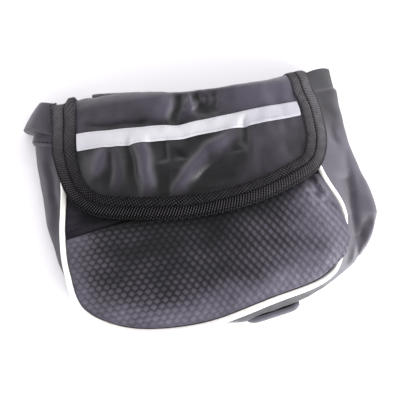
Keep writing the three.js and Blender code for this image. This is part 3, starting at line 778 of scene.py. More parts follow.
# Bonded nylon thread: dull and nearly black.
THREAD = Finish(
    "bonded_nylon_thread", "nylon", "0c0b0e", "060607",
    roughness=0.7, sheen=0.03, specular=0.1, thread=0.4, bump=0.02)
# The same thread in grey, hardly seen on the ribbon.
PALE_THREAD = Finish(
    "bonded_grey_thread", "reflective_tape", "b2b2b8", "98989f",
    roughness=0.6, sheen=0.1, specular=0.4, thread=0.4, bump=0.02)
# Matt white board: no shine and no pattern to see.
FLOOR = Finish(
    "matt_white_board", "", "fbfbfb", "f7f7f7",
    roughness=0.9, sheen=0.0, specular=0.1, thread=4.0, bump=0.0)


@dataclass
class Workshop:
    """Turns grids in the bag's millimetres into dressed objects in the frame's metres."""

    form: BagForm
    shift: Array = field(default_factory=lambda: np.zeros(3))
    materials: dict[str, bpy.types.Material] = field(default_factory=dict)
    faces: int = 0

    def settle(self) -> None:
        """Works out where the bag's own origin lies in the frame."""
        low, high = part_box("closure_patch")
        across = (low[0] + high[0]) / 2 / MM
        self.shift = np.array([across, high[1] / MM - self.form.closure_top(), 0.0])

    def material(self, finish: Finish) -> bpy.types.Material:
        """The finish's material, made once."""
        if finish.name not in self.materials:
            self.materials[finish.name] = finish.build()
        return self.materials[finish.name]

    def mesh(
        self, name: str, verts: Array, faces: list[Array], uv: Array, relief: Array | None,
    ) -> bpy.types.Object:
        """Makes an object from points, faces and what the material reads.

        Args:
            name: The object's name.
            verts: Points in the bag's millimetres.
            faces: Arrays of faces, each with one number of corners.
            uv: Cloth lengths of each point, in millimetres.
            relief: Share of the light colour at each point from 0 to 1, which carries painted light and shade
                on most pieces, or None for an even half.

        Returns:
            The object, linked to the scene.
        """
        data = bpy.data.meshes.new(name)
        corners = np.concatenate([part.ravel() for part in faces])
        counts = np.concatenate([np.full(len(part), part.shape[1]) for part in faces])
        starts = np.concatenate([[0], np.cumsum(counts)[:-1]])
        data.vertices.add(len(verts))
        data.vertices.foreach_set("co", ((verts + self.shift) * MM).astype(np.float32).ravel())
        data.loops.add(len(corners))
        data.loops.foreach_set("vertex_index", corners.astype(np.int32))
        data.polygons.add(len(counts))
        data.polygons.foreach_set("loop_start", starts.astype(np.int32))
        data.polygons.foreach_set("use_smooth", np.ones(len(counts), dtype=bool))
        data.update(calc_edges=True)
        data.validate()
        layer = data.uv_layers.new(name=Link.CLOTH.value)
        layer.uv.foreach_set("vector", (uv[corners] * MM).astype(np.float32).ravel())
        tone = np.full(len(verts), 0.5) if relief is None else relief
        stored = data.attributes.new(Link.RELIEF.value, "FLOAT", "POINT")
        stored.data.foreach_set("value", tone.astype(np.float32).ravel())
        made = bpy.data.objects.new(name, data)
        bpy.context.scene.collection.objects.link(made)
        self.faces += len(counts)
        return made

    def sheet(
        self, name: str, outer: Array, inner: Array, uv: Array | None = None, relief: Array | None = None,
        sharp: float = 55.0,
    ) -> bpy.types.Object:
        """Closes an outer and an inner grid into one sheet of cloth.

        Args:
            name: The object's name.
            outer: Grid of outer points.
            inner: Grid of inner points.
            uv: Grid of cloth lengths, or None to measure them on the outer grid.
            relief: Grid of the light colour's share on the outer face, with its painted light and shade, or
                None.
            sharp: Edges that turn by more than this many degrees are drawn sharp.

        Returns:
            The sheet.
        """
        rows, columns = outer.shape[:2]
        ids = np.arange(rows * columns).reshape(rows, columns)
        under = ids + rows * columns

        def quads(a: Array, b: Array, c: Array, d: Array) -> Array:
            """Faces from four arrays of corners."""
            return np.stack([part.ravel() for part in (a, b, c, d)], axis=1)

        parts = [
            quads(ids[:-1, :-1], ids[1:, :-1], ids[1:, 1:], ids[:-1, 1:]),
            quads(under[:-1, :-1], under[:-1, 1:], under[1:, 1:], under[1:, :-1]),
            quads(ids[:-1, 0], under[:-1, 0], under[1:, 0], ids[1:, 0]),
            quads(ids[:-1, -1], ids[1:, -1], under[1:, -1], under[:-1, -1]),
            quads(ids[0, :-1], ids[0, 1:], under[0, 1:], under[0, :-1]),
            quads(ids[-1, :-1], under[-1, :-1], under[-1, 1:], ids[-1, 1:]),
        ]
        faces = np.concatenate(parts)
        verts = np.concatenate([outer.reshape(-1, 3), inner.reshape(-1, 3)])
        tri = verts[faces[:, :3]]
        fourth = verts[faces[:, [0, 2, 3]]]
        volume = sum((t[:, 0] * np.cross(t[:, 1], t[:, 2])).sum() for t in (tri, fourth))
        if volume < 0:
            faces = faces[:, ::-1]
        if uv is None:
            down = np.linalg.norm(np.diff(outer[rows // 2], axis=0), axis=1)
            along = np.linalg.norm(np.diff(outer[:, columns // 2], axis=0), axis=1)
            spread = np.meshgrid(np.cumsum([0, *along]), np.cumsum([0, *down]), indexing="ij")
            uv = points(*spread)
        both = np.concatenate([uv.reshape(-1, 2)] * 2)
        tone = None if relief is None else np.concatenate([relief.ravel(), np.full(relief.size, 0.5)])
        made = self.mesh(name, verts, [faces], both, tone)
        made.data.set_sharp_from_angle(angle=math.radians(sharp))
        return made

    def rings(self, name: str, rings: Array, runs: int = 1) -> bpy.types.Object:
        """Closes rings of points into one or more capped tubes.

        Args:
            name: The object's name.
            rings: Points, by tube and ring and side.
            runs: Number of tubes when the rings come as one flat list.

        Returns:
            The tubes as one object.
        """
        grid = rings.reshape(runs, -1, rings.shape[-2], 3)
        tubes, count, sides = grid.shape[:3]
        ids = np.arange(tubes * count * sides).reshape(tubes, count, sides)
        turned = np.roll(ids, -1, axis=2)
        side = np.stack([ids[:, :-1], turned[:, :-1], turned[:, 1:], ids[:, 1:]], axis=-1).reshape(-1, 4)
        caps = np.concatenate([ids[:, 0, ::-1], ids[:, -1]])
        along = np.cumsum(np.linalg.norm(np.diff(grid[:, :, 0], axis=1), axis=-1), axis=1)
        along = np.concatenate([np.zeros((tubes, 1)), along], axis=1)
        uv = points(along[:, :, None], np.arange(sides)[None, None] * 0.7).reshape(-1, 2)
        return self.mesh(name, grid.reshape(-1, 3), [side, caps], uv, None)

    def dress(self, made: bpy.types.Object, finish: Finish, *nodes: str) -> bpy.types.Object:
        """Gives a piece its material and body, and hides the nodes that it stands for."""
        made.data.materials.append(self.material(finish))
        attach(made, BODY)
        if nodes:
            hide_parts(*nodes)
        LOG.info("%s: %d faces, %s", made.name, len(made.data.polygons), finish.name)
        return made


def between(at: Array, lengths: Array, rows: Array) -> Array:
    """Reads the rows that go with lengths along a path at other lengths."""
    return np.stack([np.interp(at, lengths, column) for column in rows.T], axis=-1)


def resample(path: Array, pitch: float, *others: Array) -> tuple[Array, ...]:
    """Places at an even pitch along a path, and the same places of arrays that go with it.

    Args:
        path: Points along the path.
        pitch: Distance between the new points.
        others: Arrays with a row for each point of the path.

    Returns:
        The even lengths, the new points and the other arrays at those points.
    """
    lengths = np.concatenate([[0], np.cumsum(np.linalg.norm(np.diff(path, axis=0), axis=1))])
    even = np.linspace(0, lengths[-1], max(2, int(round(lengths[-1] / pitch)) + 1))
    return (even, *(between(even, lengths, rows) for rows in (path, *others)))


@dataclass
class StitchRow:
    """A row of lock stitches: short bowed threads that dip into the cloth at both ends."""

    shop: Workshop
    name: str
    finish: Finish
    pitch: float = 2.6
    length: float = 1.9
    radius: float = 0.22
    lift: float = 0.12
    sides: int = 6

    def build(self, rows: list[tuple[Array, Array]]) -> bpy.types.Object:
        """Sews the rows.

        Args:
            rows: For each row, points along it and the cloth's normals there.

        Returns:
            All the stitches as one object.
        """
        bow = np.linspace(-1, 1, 5)
        stitches = []
        for path, out in rows:
            lengths, path, out = resample(path, 0.25, out)
            centres = np.arange(self.pitch / 2, lengths[-1] - self.pitch / 2, self.pitch)
            at = centres[:, None] + bow[None] * self.length / 2
            middle, normal = between(at, lengths, path), unit(between(at, lengths, out))
            run = unit(np.gradient(middle, axis=1))
            side = np.cross(run, normal)
            rise = self.lift + self.radius * (1 - 2.2 * bow ** 4)
            turn = np.linspace(0, 2 * np.pi, self.sides, endpoint=False)
            ring = np.cos(turn)[:, None] * side[:, :, None] + np.sin(turn)[:, None] * normal[:, :, None]
            stitches.append((middle + normal * rise[:, None])[:, :, None] + self.radius * ring)
        grid = np.concatenate(stitches)
        return self.shop.dress(self.shop.rings(self.name, grid, len(grid)), self.finish)


@dataclass
class Part(ABC):
    """A part of the scene that is made in the workshop."""

    shop: Workshop

    @property
    def form(self) -> BagForm:
        """The bag's form."""
        return self.shop.form

    @abstractmethod
    def build(self) -> None:
        """Makes the part."""


@dataclass
class FrontPanel(Part):
    """The domed front: honeycomb cloth below and a plain nylon band up to the mouth."""

    cell_width: float = 4.6
    cell_height: float = 6.1
    groove: float = 0.6
    emboss: float = 0.4
    flap_shadow_reach: float = 14.0
    sample: float = 0.6
    rim_sheen_reach: float = 22.0
    flap_corner: float = 4.5
    turn_down: float = 2.2
    turned_from: tuple[float, float] = (30.0, 45.0)
    sampled_share: float = 0.56
    cloth_share: float = 0.54
    band_width: float = 160.0
    band_seam: float = 0.93
    band_turned: float = 0.5
    pinch_at: tuple[float, float] = (68.0, 70.0)
    pinch_size: tuple[float, float] = (9.0, 11.0)
    grooves_from: tuple[float, float] = (-45.0, 25.0)
    sheen_right_from: tuple[float, float] = (0.0, 60.0)

    def crumple(self, x: Array, y: Array) -> Array:
        """Small crumples, strongest where the seam is pinched under the flap's right corner."""
        fine = 0.6 * noise(x, y, (5, 6), 21) + 0.35 * noise(x, y, (2.6, 3.2), 22)
        return spot(x, y, self.pinch_at, self.pinch_size) * fine + 0.22 * noise(x, y, (24, 18), 23)

    def honeycomb(self, x: Array, y: Array) -> Array:
        """Height of the embossed cells, from 0 in a groove to about 1 on top.

        Cells are staggered. The grooves that fall to the right are the deepest, and each cell stands
        highest beside the one at its lower left, as scales do. Towards the right the cells run together
        into scalloped rows.
        """
        warp_x = x + 0.5 * noise(x, y, (26, 22), 31)
        warp_y = y + 0.5 * noise(x, y, (22, 26), 32)
        rising = warp_x / self.cell_width + warp_y / self.cell_height
        falling = warp_x / self.cell_width - warp_y / self.cell_height
        near_x = (np.round(rising) + np.round(falling)) * self.cell_width / 2
        near_y = (np.round(rising) - np.round(falling)) * self.cell_height / 2
        right = ease(x, *self.grooves_from)
        cell = np.full(x.shape, 1.0)
        slants = ((1, 1, 0.85 - 0.35 * right), (1, -1, 0.8 - 0.45 * right), (2, 0, 0.5 - 0.3 * right))
        for across, up, depth in slants:
            step = np.array([across * self.cell_width / 2, up * self.cell_height / 2])
            reach = float(np.hypot(*step))
            along = ((warp_x - near_x) * step[0] + (warp_y - near_y) * step[1]) / reach
            groove = np.exp(-((reach / 2 - np.abs(along)) / self.groove) ** 2)
            cell = cell * (1 - depth * groove)
            if up > 0:
                lift = 0.5 - 0.5 * along / reach
        scallop = rising + 0.09 * np.sin(2 * np.pi * falling)
        row = scallop - np.round(scallop)
        pitch = 1 / math.hypot(1 / self.cell_width, 1 / self.cell_height)
        cell = cell * (1 - 0.75 * right * np.exp(-((0.5 - np.abs(row)) * pitch / self.groove) ** 2))
        lift = lift + right * (0.5 - row - lift)
        return cell * (0.72 + 0.4 * lift)

    def clear_of_flap_shadow(self, x: Array, y: Array) -> Array:
        """How far a place lies clear of the flap's painted shadow: 0 under it, 1 well below its edge."""
        form = self.form
        rim = form.flap_edge(np.linspace(self.flap_corner, FLAP_EDGE.last - self.flap_corner, 200))
        rim = form.flap_point(rim[:, 0], rim[:, 1])
        return ease(np.interp(x, rim[:, 0], rim[:, 1]) - y, -2.0, self.flap_shadow_reach)

    def panel(self) -> None:
        """The honeycomb panel."""
        form = self.form
        u = np.linspace(0, 1, int(form.panel_width / self.sample))
        v = np.linspace(0, 1, int(self.sampled_share * form.panel_height / self.sample))
        left, right = (form.left_join, form.left_corner), (form.right_join, form.right_corner)
        plan = panel_plan(form.panel_edge, left, right, u, v)
        x, y = plan[..., 0], plan[..., 1]
        sides = np.minimum(u, 1 - u)[:, None] * form.panel_width
        ends = self.cloth_share * form.panel_height
        edge = np.minimum(sides, np.minimum(v, 1 - v)[None] * ends)
        fade = ease(edge, 0.3, 4.0)
        cells = self.honeycomb(x, y)
        base = form.front(x, y) + form.creases(PANEL_CREASES, x, y) + fade * self.crumple(x, y)
        face = base + self.emboss * (cells - 0.6) * fade
        open_edge = np.minimum(sides, (1 - v)[None] * ends)
        # Painted sheen: lighter towards the side and bottom rims and towards the right, with random tone for
        # wear.
        wear_and_painted_light = np.exp(-(open_edge / self.rim_sheen_reach) ** 2) + 0.25 * noise(x, y, (17, 11), 36)
        wear_and_painted_light = np.clip(0.2 + 0.8 * wear_and_painted_light + 0.35 * ease(x, *self.sheen_right_from), 0.1, 1.2)
        plain = 0.6 * (1 - ease((1 - u)[:, None] * form.panel_width, 1, 18))
        # The colour follows the cells' height, with painted shade in the grooves and near the seams, the
        # painted sheen above, and painted shadow under the flap's edge.
        tone = cells ** (3.0 - 1.5 * wear_and_painted_light) * (0.55 + 0.45 * fade)
        tone = tone + 0.7 * ease(wear_and_painted_light, 0.35, 1.0) * (0.6 - tone)
        tone = (0.08 + 0.92 * (tone + plain * (0.4 - tone))) * wear_and_painted_light * (0.05 + 0.95 * self.clear_of_flap_shadow(x, y))
        turned = self.turn_down * ease(x, *self.turned_from) * (1 - ease(edge, 0, 1.5))
        under = points(x, y, base - form.mesh_wall - turned)
        made = self.shop.sheet("honeycomb_panel", points(x, y, face), under, plan, tone, 80.0)
        self.shop.dress(made, HONEYCOMB, "mesh_panel")

    def band(self) -> tuple[Array, Array]:
        """The plain band.

        Returns:
            The line of its lower edge and the normals there.
        """
        form = self.form
        u = np.linspace(0, 1, 170)
        v = np.linspace(0, 1, 76)
        left = form.panel_edge(form.left_join * v)
        right = form.panel_edge(SECTIONS.last + (form.right_join - SECTIONS.last) * v)
        mouth = form.mouth_up * form.panel_height
        for side in (left, right):
            side[:, 1] += (mouth - form.line("front", np.array(0.0))[1]) * (1 - v) + form.seam_gap * v
        plan = patch(left, right, u, v)
        x, y = plan[..., 0], plan[..., 1]
        fade = ease(np.minimum(u[:, None], 1 - u[:, None]) * self.band_width, 0.3, 6.0)
        turned = self.band_turned * ease(v[None], 0.955, 0.985)
        face = form.front(x, y) + form.creases(BAND_CREASES, x, y) + fade * self.crumple(x, y) - turned
        under = points(x, y, face - form.cloth_wall)
        # Painted shadow under the flap's edge, broken up by random tone.
        tone = self.clear_of_flap_shadow(x, y) * (0.6 + 0.4 * noise(x, y, (12, 3), 24))
        made = self.shop.sheet("mouth_band_cloth", points(x, y, face), under, plan, np.clip(tone, 0, 1))
        self.shop.dress(made, SHADED_BAND_NYLON, "mouth_band")
        row = int(self.band_seam * len(v))
        grid = points(x, y, face)
        return grid[2:-2, row], np.tile([0.0, 0.0, 1.0], (len(u) - 4, 1))

    def build(self) -> None:
        """Makes the panel, the band and the seam between them."""
        self.panel()
        seam = self.band()
        row = StitchRow(self.shop, "band_seam_stitches", THREAD, pitch=3.4, length=2.3, radius=0.22, lift=0.0)
        row.build([seam])


@dataclass
class Piping(Part):
    """White piping round the front panel, slightly uneven where it is sewn in."""

    sides: int = 18
    steps: int = 560

    def build(self) -> None:
        """Makes the piping."""
        form = self.form
        at = np.linspace(0, SECTIONS.last, self.steps)
        centre = form.piping_centre(at)
        out = form.outward("front", at)
        uneven = 1 + 0.03 * noise(at * 30, at * 0, (9, 9), 41)
        radius = form.piping / 2 * PIPING_ROUND.read("share", at / 2) * uneven
        turn = np.linspace(0, 2 * np.pi, self.sides, endpoint=False)
        side = np.cos(turn)[None] * radius[:, None]
        rise = np.sin(turn)[None] * radius[:, None]
        ring = points(
            centre[:, :1] + side * out[:, :1], centre[:, 1:2] + side * out[:, 1:], centre[:, 2:] + rise,
        )
        made = self.shop.rings("white_piping", ring)
        self.shop.dress(made, VINYL, "piping")


@dataclass
class Strap(Part):
    """A flat strap behind the bag whose outer end is folded back over itself."""

    node: str
    tip_x: float
    tip_y: float
    lean: float
    inward: int
    width: float = 32.0
    length: float = 110.0
    fold: float = 4.4
    corner: float = 2.4
    selvedge: float = 0.35
    rib: float = 1.6
    steps: int = 160
    columns: int = 54

    def build(self) -> None:
        """Makes the strap with thinner edges and a napped face."""
        form = self.form
        wall = form.strap_wall
        across = np.array([math.cos(self.lean), math.sin(self.lean)])
        along = self.inward * np.array([-math.sin(self.lean), math.cos(self.lean)])
        turn = np.linspace(-np.pi / 2, np.pi / 2, 15)
        middle, centre = (self.fold - wall) / 2, self.fold / 2

        def grid(radius: float) -> Array:
            """One face of the strap."""
            flat = np.linspace(self.length, centre, self.steps)[:-1]
            tail = np.linspace(centre, centre + 1.0, 4)[1:]
            around = np.concatenate([0 * flat - np.pi / 2, turn, 0 * tail + np.pi / 2])
            inward = np.concatenate([flat, centre - radius * np.cos(turn), tail])
            height = centre + radius * np.sin(around)
            off = np.linspace(-self.width / 2, self.width / 2, self.columns)
            corner = self.corner * np.abs(2 * off / self.width) ** 7
            inward = inward[:, None] + corner * (1 - ease(inward, 3, 16))[:, None]
            x = self.tip_x + along[0] * inward + across[0] * off[None]
            y = self.tip_y + along[1] * inward + across[1] * off[None]
            selvedge = self.selvedge * ease(np.abs(off), self.width / 2 - 2.4, self.width / 2 - 1.4)
            nap = 0.12 * noise(inward, 0 * inward + off, (1.3, 1.1), 51)
            sign = 1 if radius > middle else -1
            rounded = (nap - selvedge)[..., None] * 0.5 * sign
            spine = points(0 * around, 0 * around, np.sin(around))
            moved = points(x, y, np.broadcast_to(height[:, None], x.shape)) + rounded * spine[:, None]
            moved[..., 2] = np.maximum(moved[..., 2], 0.0)
            return moved

        outer, inner = grid(middle + wall / 2), grid(middle - wall / 2)
        rib = 0.5 + 0.5 * np.sin(np.linspace(0, self.width, self.columns) * 2 * np.pi / self.rib)
        tone = np.broadcast_to(0.45 + 0.4 * rib, outer.shape[:2]).copy()
        made = self.shop.sheet(self.node + "_webbing", outer, inner, None, tone)
        self.shop.dress(made, LOOP, self.node)


@dataclass
class Gusset(Part):
    """Side and bottom band, with a turned hem at each end of the mouth, the left one stitched."""

    strap: Strap
    left_wing: float = 0.68
    left_hem: float = 0.95
    right_hem: float = 13.6
    hem_wall: float = 1.2
    hem_step: float = 0.014
    hem_columns: tuple[int, int] = (3, 24)
    ear_column: int = 5
    right_step: float = 1.2
    wing_reach: float = 8.2
    left_rise: float = 10.6
    right_rise: float = 3.0
    ear_gap: float = 1.2
    ear_fade: float = 0.6
    puff: float = 0.8
    puff_at: float = 0.86
    puff_reach: float = 0.07
    corner_at: float = 10.93
    corner_rise: float = 0.8
    corner_reach: float = 0.2
    sag: float = 1.9
    sag_at: float = 8.0
    sag_reach: float = 0.85
    sag_deeper: float = 2.2
    lit_rows: tuple[float, float, float, float] = (9.0, 9.8, 12.4, 13.2)
    shaded_rows: tuple[float, float] = (12.6, 13.4)
    steps: int = 660
    columns: int = 44

    def outer(self, at: Array) -> Array:
        """Plain outer face before hems and dents."""
        form = self.form
        front = form.piping_centre(at)
        front[:, 2] -= form.piping / 2 + form.seam_gap
        belly = np.concatenate(
            [form.line("belly", at), (SECTIONS.read("belly_rise", at) * form.seam_height)[:, None]], axis=1)
        back = np.concatenate([form.line("back", at), np.full((len(at), 1), form.back_rise)], axis=1)
        foot = (belly + back) / 2
        foot[:, 2] = form.strap_lift(foot[:, 0], foot[:, 1], self.strap)
        rows = np.stack([front, belly, foot, back])
        grid = np.swapaxes(curve(rows, np.linspace(0, 3, self.columns)), 0, 1).copy()
        grid[..., 2] = np.maximum(grid[..., 2], form.strap_lift(grid[..., 0], grid[..., 1], self.strap))
        return grid

    def build(self) -> None:
        """Makes the cloth and its stitches."""
        form = self.form
        at = np.linspace(0, SECTIONS.last, self.steps)
        plain = self.outer(at)
        down = np.linspace(0, 1, self.columns)[None]
        left_rise = self.left_rise * (1 - ease(at, 0, self.ear_fade))
        right_rise = self.right_rise * ease(at, SECTIONS.last - self.ear_fade, SECTIONS.last)
        seam = np.clip(3 * down, 0, 1)
        plain[..., 1] += left_rise[:, None] * (1 - seam) + right_rise[:, None] * np.sin(np.pi * seam)
        plain[..., 0] -= self.ear_gap * (left_rise / self.left_rise)[:, None] * (1 - seam)
        normal = normals(plain)
        x, y = plain[..., 0], plain[..., 1]
        share = np.sin(np.pi * down)
        step = self.hem_step
        wing = 1 - ease(at, self.left_wing - step, self.left_wing + step)
        left = 1 - ease(at, self.left_hem - step, self.left_hem + step)
        right = ease(at, self.right_hem - step, self.right_hem + step)
        hem = (self.hem_wall * left - self.right_step * right)[:, None] * share
        puff = self.puff * np.exp(-((at - self.puff_at) / self.puff_reach) ** 2)[:, None] * share
        flare = (self.wing_reach * at / self.left_wing * wing)[:, None] * share ** 2
        soft = 0.5 * noise(x, y, (16, 24), 61) + 0.25 * noise(x, y, (6, 9), 62)
        dent = (form.folds(GUSSET_FOLDS, x, y) + form.creases(GUSSET_CREASES, x, y) + soft) * share
        corner = self.corner_rise * np.exp(-np.abs(at - self.corner_at) / self.corner_reach)
        hang = np.exp(-((at - self.sag_at) / self.sag_reach) ** 4)
        deeper = 1 + self.sag_deeper * ease(at, self.sag_at - 0.2, self.sag_at - 0.6)
        sag = self.sag * (hang * deeper)[:, None] * share ** 2
        face = plain + normal * (hem + puff + flare + dent + corner[:, None] * share ** 4 + sag)[..., None]
        inward = dent - self.right_step * right[:, None] * share - form.cloth_wall
        inside = plain + normal * inward[..., None]
        face[..., 2] = np.maximum(face[..., 2], 0.0)
        inside[:, 0, 2] = np.minimum(inside[:, 0, 2], face[:, 0, 2])
        inside[:, -1] = face[:, -1] + [0, 0, form.cloth_wall]
        inside[..., 2] = np.maximum(inside[..., 2], 0.3)
        # Painted light on the lower right side, and painted shade at the top of the right side, in the sag
        # and in the dents.
        light = ease(at, *self.lit_rows[:2]) * (1 - ease(at, *self.lit_rows[2:]))
        painted_light_and_shade = (0.3 + 1.5 * light - 1.3 * ease(at, *self.shaded_rows) - 0.9 * hang)[:, None]
        tone = 0.5 + 0.5 * np.tanh(painted_light_and_shade) + 0.35 * np.tanh(dent / 1.3)
        made = self.shop.sheet("gusset_cloth", face, inside, None, np.clip(tone, 0, 1))
        self.shop.dress(made, SIDE_NYLON, "gusset")
        self.sew(at, face, normals(face))

    def sew(self, at: Array, face: Array, normal: Array) -> None:
        """Sews the left ear's hem and its seam beside the flap."""
        row = int(np.argmin(np.abs(at - self.left_hem + 0.05)))
        last = int(np.argmin(np.abs(at - self.left_hem)))
        hem = (row, slice(*self.hem_columns))
        ear = (slice(2, last), self.ear_column)
        rows = [(face[seam], normal[seam]) for seam in (hem, ear)]
        made = StitchRow(self.shop, "hem_stitches", THREAD, pitch=2.6, length=1.8, radius=0.2, lift=0.05)
        made.build(rows)


@dataclass
class BackPanel(Part):
    """Plain back between the gusset's seams."""

    slack: float = 0.5
    seam_inset: float = 2.2

    def build(self) -> None:
        """Makes the cloth and the seam round it."""
        form = self.form

        def edge(at: Array) -> Array:
            """The back seam, just inside the gusset."""
            return form.line("back", at) - form.outward("back", at) * form.seam_gap

        u = np.linspace(0, 1, 110)
        v = np.linspace(0, 1, 84)
        plan = panel_plan(edge, (0.0, form.left_corner), (SECTIONS.last, form.right_corner), u, v)
        x, y = plan[..., 0], plan[..., 1]
        fade = ease(np.minimum(np.minimum(u[:, None], 1 - u[:, None]) * 160, (1 - v[None]) * 120), 1, 12)
        rise = self.slack * fade * np.abs(noise(x, y, (30, 26), 71))
        outer = points(x, y, form.back_rise + rise)
        inner = points(x, y, form.back_rise + form.cloth_wall + rise)
        self.shop.dress(self.shop.sheet("back_cloth", outer, inner, plan), BACK_NYLON, "back_panel")
        at = np.linspace(0.1, SECTIONS.last - 0.1, 500)
        seam = edge(at) - form.outward("back", at) * self.seam_inset
        path = np.concatenate([seam, np.full((len(at), 1), form.back_rise)], axis=1)
        row = StitchRow(
            self.shop, "back_seam_stitches", THREAD, pitch=3.4, length=2.4, radius=0.22, lift=0.02)
        row.build([(path, np.tile([0.0, 0.0, -1.0], (len(at), 1)))])


@dataclass(frozen=True)
class TapeProfile:
    """The folded tape's cross-section, from its edge on top, round the fold, to its edge beneath.

    Attributes:
        inset: Distance in from the flap's edge of each outer point.
        stand: Height of each outer point off the middle of the flap's cloth.
        inner_inset: The same distance on the tape's inner face.
        inner_stand: The same height on the tape's inner face.
        ribbed: How strongly the ribs show at each point.
        second: How far each point belongs to the inner of the two ridges.
        hollow: Half the room that the tape leaves for the cloth.
    """

    inset: Array
    stand: Array
    inner_inset: Array
    inner_stand: Array
    ribbed: Array
    second: Array
    hollow: float


